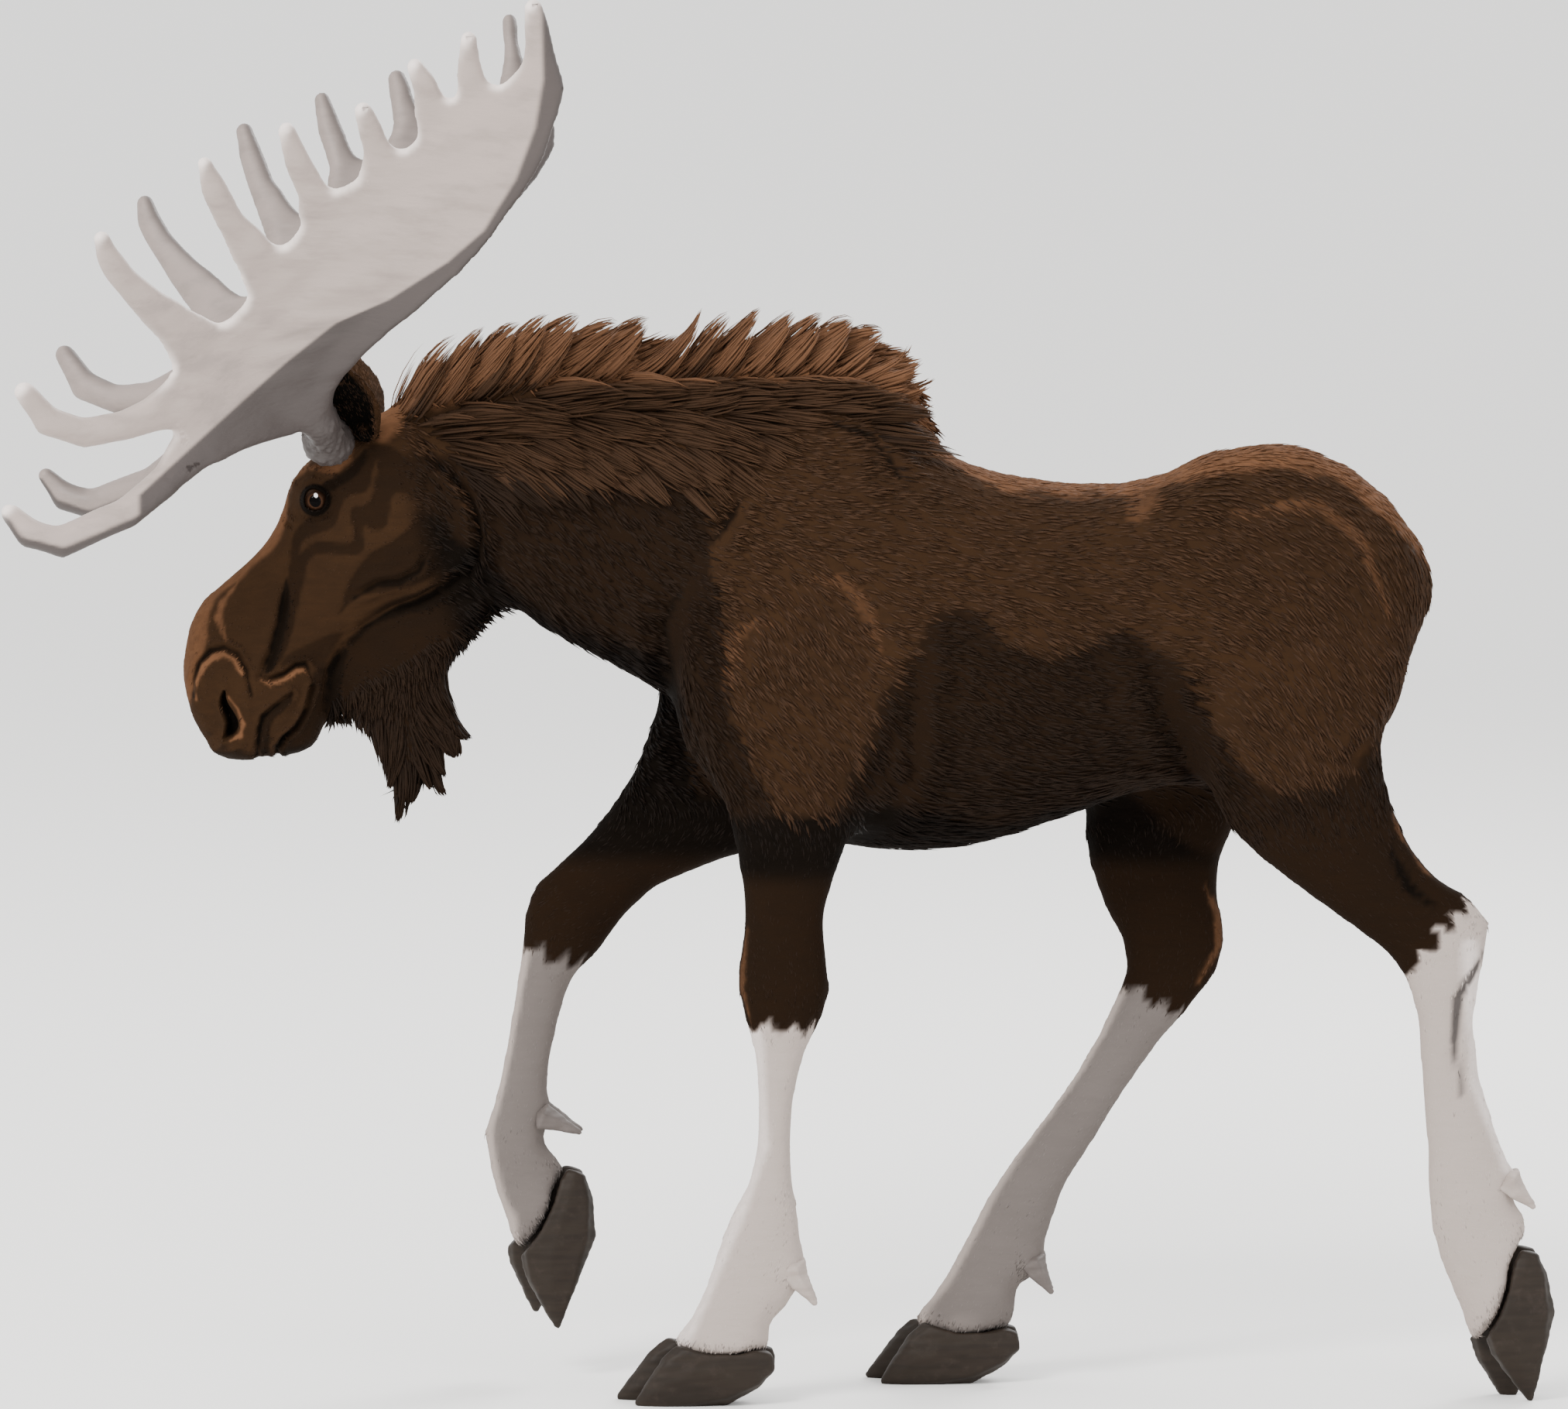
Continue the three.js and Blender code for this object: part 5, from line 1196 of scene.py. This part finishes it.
class Hair:  # tufts or locks that grow from the skin, all of one form
    def __init__(self, form):
        self.form = form
        self.rows = []

    def add(self, roots, long, wide, rise, droop, thick, way=None, tips=None, pull=None,
            sink=0.004, shine=0.25, bow=1.6, reach=1.0):
        count = len(roots["place"])
        way = roots["way"] if way is None else way
        tips = roots["place"] if tips is None else tips
        pull = np.zeros(count) if pull is None else pull
        looks = (long, wide, rise, droop, thick, sink, shine, bow, reach)
        spread = [np.broadcast_to(look, count) for look in looks]
        self.rows.append((roots, way, tips, pull, *spread))

    def centre(self, row, share):  # the middle line of each tuft, at a share of its length
        roots, way, tips, pull, long, _, rise, droop, _, sink, _, bow, reach = row
        out = roots["out"]
        share = share * reach
        straight = roots["place"] - out * sink[:, None] + way * (long * share)[:, None]
        straight = straight + out * (long * (rise * share - droop * share ** 2))[:, None]
        return straight + (pull * share ** bow)[:, None] * (tips - straight)

    def points(self, row):
        sides, wide, thick = self.form["sides"], row[5], row[8]
        rings = []
        for share, girth in zip(self.form["shares"], self.form["girth"]):
            middle = self.centre(row, share)
            run = self.centre(row, share + 0.05) - middle
            run /= np.linalg.norm(run, axis=1)[:, None]
            across = np.cross(run, row[0]["out"])
            across /= np.maximum(np.linalg.norm(across, axis=1), 1e-6)[:, None]
            up = np.cross(across, run)
            for k in range(sides):
                turn = 2 * math.pi * k / sides + (math.pi / 2 if sides == 3 else 0)
                rings.append(middle + across * (wide * girth / 2 * math.cos(turn))[:, None]
                             + up * (wide * thick * girth / 2 * math.sin(turn))[:, None])
        rings.append(self.centre(row, 1.0))
        return np.stack(rings, 1)

    def faces(self):
        sides, rings = self.form["sides"], len(self.form["shares"])
        made = [tuple(range(sides))[::-1]]
        for r in range(rings - 1):
            for k in range(sides):
                low, high, after = r * sides, (r + 1) * sides, (k + 1) % sides
                made.append((low + k, low + after, high + after, high + k))
        last = (rings - 1) * sides
        made += [(last + k, last + (k + 1) % sides, rings * sides) for k in range(sides)]
        return made

    def build(self, label, material, limit=190000):  # in pieces of at most this many triangles
        sides, shares = self.form["sides"], list(self.form["shares"]) + [1.0]
        faces = self.faces()
        points = np.concatenate([self.points(row) for row in self.rows])
        whole = {key: np.concatenate([row[0][key] for row in self.rows]) for key in ("uv", "masks", "luck")}
        shine = np.concatenate([row[10] for row in self.rows])
        perTuft = sum(len(f) - 2 for f in faces)
        along = np.array([share for share in shares[:-1] for _ in range(sides)] + [1.0])
        angle = np.array([k / sides for _ in shares[:-1] for k in range(sides)] + [0.5])
        patch = np.stack([angle - 0.5, along - 0.5], 1) * 0.003  # each tuft's own place on the map
        pieces = math.ceil(len(points) * perTuft / limit)
        for n, part in enumerate(np.array_split(np.arange(len(points)), pieces)):
            mesh = bpy.data.meshes.new(f"{label}_{n}")
            count, each = len(part), points.shape[1]
            corners = np.concatenate([np.array(f) for f in faces])
            starts = np.concatenate([[0], np.cumsum([len(f) for f in faces])[:-1]])
            mesh.vertices.add(count * each)
            mesh.vertices.foreach_set("co", points[part].astype(np.float32).ravel())
            mesh.loops.add(count * len(corners))
            ids = corners + each * np.arange(count)[:, None]
            mesh.loops.foreach_set("vertex_index", ids.astype(np.int32).ravel())
            mesh.polygons.add(count * len(faces))
            begins = starts + len(corners) * np.arange(count)[:, None]
            mesh.polygons.foreach_set("loop_start", begins.astype(np.int32).ravel())
            mesh.polygons.foreach_set("use_smooth", np.ones(count * len(faces), bool))
            mesh.update(calc_edges=True)
            bake = mesh.uv_layers.new(name="OFBake")
            spots = (whole["uv"][part][:, None] + patch[None])[:, corners]
            bake.data.foreach_set("uv", spots.astype(np.float32).ravel())
            paintMasks(mesh, "coat", np.repeat(whole["masks"][part], each, 0))
            strand = np.zeros((count, each, 4))
            strand[:, :, 0] = whole["luck"][part][:, None]
            strand[:, :, 1] = along[None]
            strand[:, :, 2] = shine[part][:, None]
            paintMasks(mesh, "strand", strand.reshape(-1, 4))
            item = bpy.data.objects.new(f"{label}_{n}", mesh)
            bpy.context.scene.collection.objects.link(item)
            mesh.materials.append(material)
            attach(item, root)
        print(label + ":", len(points), "grown in", pieces, "pieces")


class Ground:  # a skin as a place where hair can be rooted, with the lie of its hair and the masks of its colour: markings, painted highlights and painted shade
    def __init__(self, skin, lie, masks):
        mesh = skin.data
        self.lie, self.masks = lie, masks
        mesh.calc_loop_triangles()
        count = len(mesh.loop_triangles)
        self.points, self.normals = pointsOf(mesh), normalsOf(mesh)
        self.corners = self.read(mesh.loop_triangles, "vertices", count, np.int32)
        loops = self.read(mesh.loop_triangles, "loops", count, np.int32)
        uv = np.empty(len(mesh.loops) * 2, np.float32)
        mesh.uv_layers["OFBake"].data.foreach_get("uv", uv)
        self.uv = uv.reshape(-1, 2)[loops]
        a, b, c = (self.points[self.corners[:, k]] for k in range(3))
        self.area = np.linalg.norm(np.cross(b - a, c - a), axis=1) / 2
        self.middle = (a + b + c) / 3

    def read(self, source, key, count, kind):
        flat = np.empty(count * 3, kind)
        source.foreach_get(key, flat)
        return flat.reshape(-1, 3)

    def roots(self, density, seed):  # tufts per square metre for each triangle
        draw = np.random.default_rng(seed)
        wanted = self.area * density
        chosen = np.repeat(np.arange(len(wanted)), draw.poisson(wanted))
        u, v = draw.random(len(chosen)), draw.random(len(chosen))
        over = u + v > 1
        u[over], v[over] = 1 - u[over], 1 - v[over]
        share = np.stack([1 - u - v, u, v], 1)[:, :, None]
        corner = self.corners[chosen]
        place = (self.points[corner] * share).sum(1)
        out = (self.normals[corner] * share).sum(1)
        out /= np.linalg.norm(out, axis=1)[:, None]
        way = self.lie(place, out)
        swirl = coatLie["swirl"] * ripple(place, 18, 40) + draw.normal(0, coatLie["stray"], len(place))
        way = way + np.cross(out, way) * swirl[:, None]
        way /= np.linalg.norm(way, axis=1)[:, None]
        return {"place": place, "out": out, "way": way, "uv": (self.uv[chosen] * share).sum(1),
                "masks": self.masks(place, out), "luck": draw.random(len(place))}


coatPlan = {  # tufts per square metre, length and width in metres, how much they stand off, and how much painted sheen their tips get
    "body": {"density": 11500, "long": 0.033, "wide": 0.0060, "rise": 0.17, "shine": 0.22},
    "leg": {"density": 17000, "long": 0.016, "wide": 0.0038, "rise": 0.13, "shine": 0.25},
    "face": {"density": 26000, "long": 0.0095, "wide": 0.0027, "rise": 0.18, "shine": 0.08},
}


def coatShares(places):  # how much of each kind of coat grows at each point
    head, leg, _ = regions(places)
    head = head * (1 - bellShare(places))
    return {"body": (1 - head) * (1 - leg), "leg": leg * (1 - head), "face": head}


def blended(shares, key):
    return sum(coatPlan[part][key] * share for part, share in shares.items())


def growCoat(ground, material):
    places = ground.middle
    density = blended(coatShares(places), "density")
    roots = ground.roots(density * (1 - bareShare(places)) * (1 - 0.8 * maneShare(places)), 11)
    shares, luck = coatShares(roots["place"]), roots["luck"]
    under = softStep(-roots["out"][:, 2], 0.2, 0.8) * shares["body"]
    long = blended(shares, "long") * (0.75 + 0.5 * luck) * (1 + 0.6 * under)
    rise = blended(shares, "rise") * (0.6 + 0.8 * np.roll(luck, 7))
    hair = Hair(tuftForm)
    hair.add(roots, long, blended(shares, "wide") * (0.8 + 0.4 * luck), rise, 0.12, 0.42,
             sink=0.0012, shine=blended(shares, "shine"))
    hair.build("coat", material)


bareEdges = {"eye": (-1.25, -1.1), "nose": 0.006, "lips": (-0.005, -0.003), "lipsBack": -0.85}


def bareShare(places):  # lids, nostrils and lips, where no coat grows
    bare = insideOf(places, nostril["outline"], bareEdges["nose"])
    for side in hands:
        centre, radius = eyeFacts(side)
        away = np.linalg.norm(places - centre, axis=1) / radius
        bare = np.maximum(bare, softStep(-away, *bareEdges["eye"]))
    lips, _ = lineDistance(places, faceFolds["mouth"][0])
    return np.maximum(bare, softStep(-lips, *bareEdges["lips"]) * (places[:, 0] < bareEdges["lipsBack"]))


# ends of the crest's locks, seen from the side in mm
maneTips = [(-718, 1888), (-660, 1943), (-605, 1948), (-559, 1961), (-494, 1968), (-440, 1985),
            (-385, 1982), (-313, 1965), (-257, 1975), (-163, 2000), (-108, 1990), (-53, 1994), (10, 1992),
            (62, 1985), (118, 1972), (173, 1961), (222, 1944), (250, 1918), (266, 1884), (279, 1848)]
manePlan = {
    "density": 19000, "long": 0.11, "wide": 0.005,
    "spacing": 0.04,  # between the locks on its sides
    "lead": 0.075,  # how far the root of a crest lock lies in front of its tip
    "rows": (-0.045, -0.015, 0.015, 0.045),  # places of the crest's locks across the neck
    "deep": {"front": 0.20, "back": 0.09, "zone": (-0.16, 0.02)},
    "end": (-0.215, -0.185),
    "thicker": {"share": 0.8, "zone": (0.1, 0.16)},
    "rear": (0.19, 0.25),  # where the last locks lie flat
    "fall": (0.02, 0.2),
    "crest": (-0.066, -0.022),
}
bellSpikes = [  # root and tip of each of the bell's locks, seen from the side in mm
    ((-728, 1200), (-732, 1117)), ((-708, 1168), (-716, 1050)), ((-690, 1170), (-694, 1088)),
    ((-672, 1185), (-650, 1122)), ((-656, 1190), (-622, 1104)), ((-650, 1212), (-625, 1142)),
    ((-634, 1240), (-600, 1181)), ((-622, 1272), (-577, 1212)),
]
bellPlan = {
    "density": 30000, "long": 0.058, "wide": 0.0052, "rows": (-0.022, 0, 0.022), "reach": (-0.08, -0.05),
}


# front edge of the mane, seen from the side in mm
jawEdge = [(-520, 1440), (-585, 1530), (-560, 1592), (-560, 1652), (-605, 1723), (-672, 1790), (-745, 1832),
           (-760, 1900)]


def maneShare(places):
    plan, deep = manePlan, manePlan["deep"]
    x, z = places[:, 0], places[:, 2]
    drop = crestHeight(x) - z
    limit = deep["front"] - (deep["front"] - deep["back"]) * softStep(x, *deep["zone"])
    line = sideView(jawEdge)
    behind = x - np.interp(z, line[:, 1], line[:, 0])
    return softStep(limit - drop, 0.0, 0.02) * softStep(behind, -0.008, 0.016) * softStep(-x, *plan["end"])


def nearestClump(places, clumps):  # which clump each point belongs to, and how far it is from its middle
    best = np.full(len(places), np.inf)
    pick = np.zeros(len(places), int)
    for k, clump in enumerate(clumps):
        away = np.linalg.norm(places - clump, axis=1)
        closer = away < best
        best[closer], pick[closer] = away[closer], k
    return pick, best


def maneClumps(roots, drop, way, draw):  # roots and tips of all the locks
    plan, places = manePlan, roots["place"]
    clumps, tips = [], []
    for x, z in sideView(maneTips):
        lead = plan["lead"] * (1 + 0.5 * softStep(x, 0.2, 0.27))
        for y in plan["rows"]:
            lead += draw.uniform(-0.008, 0.008) * (abs(y) > 0.02)
            clumps.append((x - lead, y, min(crestHeight(x - lead), z - 0.03) - abs(y) * 0.4))
            lift = (0.018 if x < 0.15 else 0.006) - abs(y) * (0.25 if x < 0.2 else 0.0)
            tips.append((x + 0.012, y * 0.4, z + lift))
    for seed in draw.permutation(len(places))[:3000]:
        away = np.linalg.norm(np.array(clumps) - places[seed], axis=1).min()
        if drop[seed] > 0.055 and away > plan["spacing"] * draw.uniform(0.8, 1.3):
            clumps.append(places[seed])
            reach = plan["long"] * draw.uniform(0.9, 1.5)
            tips.append(places[seed] + way[seed] * reach + roots["out"][seed] * draw.uniform(0.005, 0.02))
    return np.array(clumps), np.array(tips)


def growMane(ground, material):
    plan = manePlan
    thicker = 1 + plan["thicker"]["share"] * softStep(ground.middle[:, 0], *plan["thicker"]["zone"])
    roots = ground.roots(plan["density"] * maneShare(ground.middle) * thicker, 12)
    draw = np.random.default_rng(13)
    places, luck = roots["place"], roots["luck"]
    drop = crestHeight(places[:, 0]) - places[:, 2]
    fall = softStep(drop, *plan["fall"])[:, None]
    way = alongSkin(np.array((1.0, 0, 0.12)) * (1 - fall) + np.array((0.75, 0, -0.8)) * fall, roots["out"])
    clumps, tips = maneClumps(roots, drop, way, draw)
    pick, away = nearestClump(places, clumps)
    top = softStep(-drop, *plan["crest"])
    rear = softStep(tips[pick, 0], *plan["rear"])
    crest = top * (1 - rear)
    lean = places - clumps[pick]
    ahead = np.where(lean[:, 0] > 0, 1.7, 0.9) * (1 - rear) + rear * 0.8
    across = np.hypot(lean[:, 0] * ahead, lean[:, 2] * rear * 2.4)
    aside = np.clip(top * across / 0.032 + (1 - top) * away / 0.05, 0, 1)  # 1 at the edge of a lock
    back = (top * rear)[:, None]
    way = way * (1 - back) + np.array((0.99, 0, 0.12)) * back
    long = plan["long"] * (1 + (luck - 0.5) * (0.5 - 0.35 * crest)) * (1 - 0.45 * crest)
    rise = 0.2 + 1.1 * crest * (1 - 0.85 * aside) + 0.2 * (1 - top) * softStep(-drop, -0.12, -0.05)
    ends = tips[pick] + draw.normal(0, 0.0012, places.shape)
    pull = (0.35 + 0.5 * np.roll(luck, 5)) * (1 - top) + 0.97 * top
    reach = 1 - (0.45 + 0.20 * top) * aside ** (1.2 - 0.4 * top)
    hair = Hair(lockForm)
    # painted sheen on the locks' tips, stronger on the crest's top
    hair.add(roots, long, plan["wide"] * (0.7 + 0.6 * luck), rise, 0.1, 0.35, way, ends, pull,
             0.003, 0.12 + 0.18 * top, 1.6 + 0.3 * crest, reach)
    hair.build("mane", material)


def growBell(ground, material):
    plan = bellPlan
    roots = ground.roots(plan["density"] * softStep(bellShare(ground.middle), 0.3, 0.6), 14)
    draw = np.random.default_rng(15)
    places, luck = roots["place"], roots["luck"]
    clumps, tips = [], []
    for spike in bellSpikes:
        for y in plan["rows"]:
            (rootX, rootZ), (tipX, tipZ) = sideView(spike)
            clumps.append((rootX, y, rootZ))
            tips.append((tipX, y * 0.6, tipZ))
    pick, away = nearestClump(places, np.array(clumps))
    ends = np.array(tips)[pick] + draw.normal(0, 0.0025, places.shape)
    pull = 0.96 * softStep(-away, *plan["reach"])
    reach = 1 - 0.4 * np.clip(away / 0.05, 0, 1)
    hair = Hair(lockForm)
    hair.add(roots, plan["long"] * (0.7 + 0.6 * luck), plan["wide"] * (0.7 + 0.6 * luck), 0.2, 0.1, 0.4,
             None, ends, pull, 0.002, 0.2, 1.1, reach)
    hair.build("bell", material)


placeCamera()
placeLights()
print("camera and lights placed")
bpy.ops.object.select_all(action="DESELECT")
bpy.ops.mesh.primitive_circle_add(vertices=floorLook["edges"], radius=floorLook["radius"], fill_type="NGON")
floor = bpy.context.object
floor.name = "floor"
paper = Finish("floorLook", Roughness=0.9, Specular_IOR_Level=0.1)
paper.surface.inputs["Base Color"].default_value = tone(*floorLook["tone"])
floor.data.materials.append(paper.material)

skin = makeSkin()
unwrap(skin)
paintMasks(skin.data, "coat", coatMasks(pointsOf(skin.data), normalsOf(skin.data)))
finishPiece(skin, skinLook(), "coat", *skinPlan["nodes"])
print("skin unwrapped")

bone, cup, glass, hairMaterial = antlerLook(), earLook(), eyeLook(), hairLook()
for side in hands:
    makeAntler(side, bone)
    makeEar(side, cup, hairMaterial)
    makeEye(side, glass)
makeHooves(*[hornLook(kind) for kind in hornTones])
print("antlers, ears, eyes and hooves made")

ground = Ground(skin, lieOfCoat, coatMasks)
growCoat(ground, hairMaterial)
growMane(ground, hairMaterial)
growBell(ground, hairMaterial)
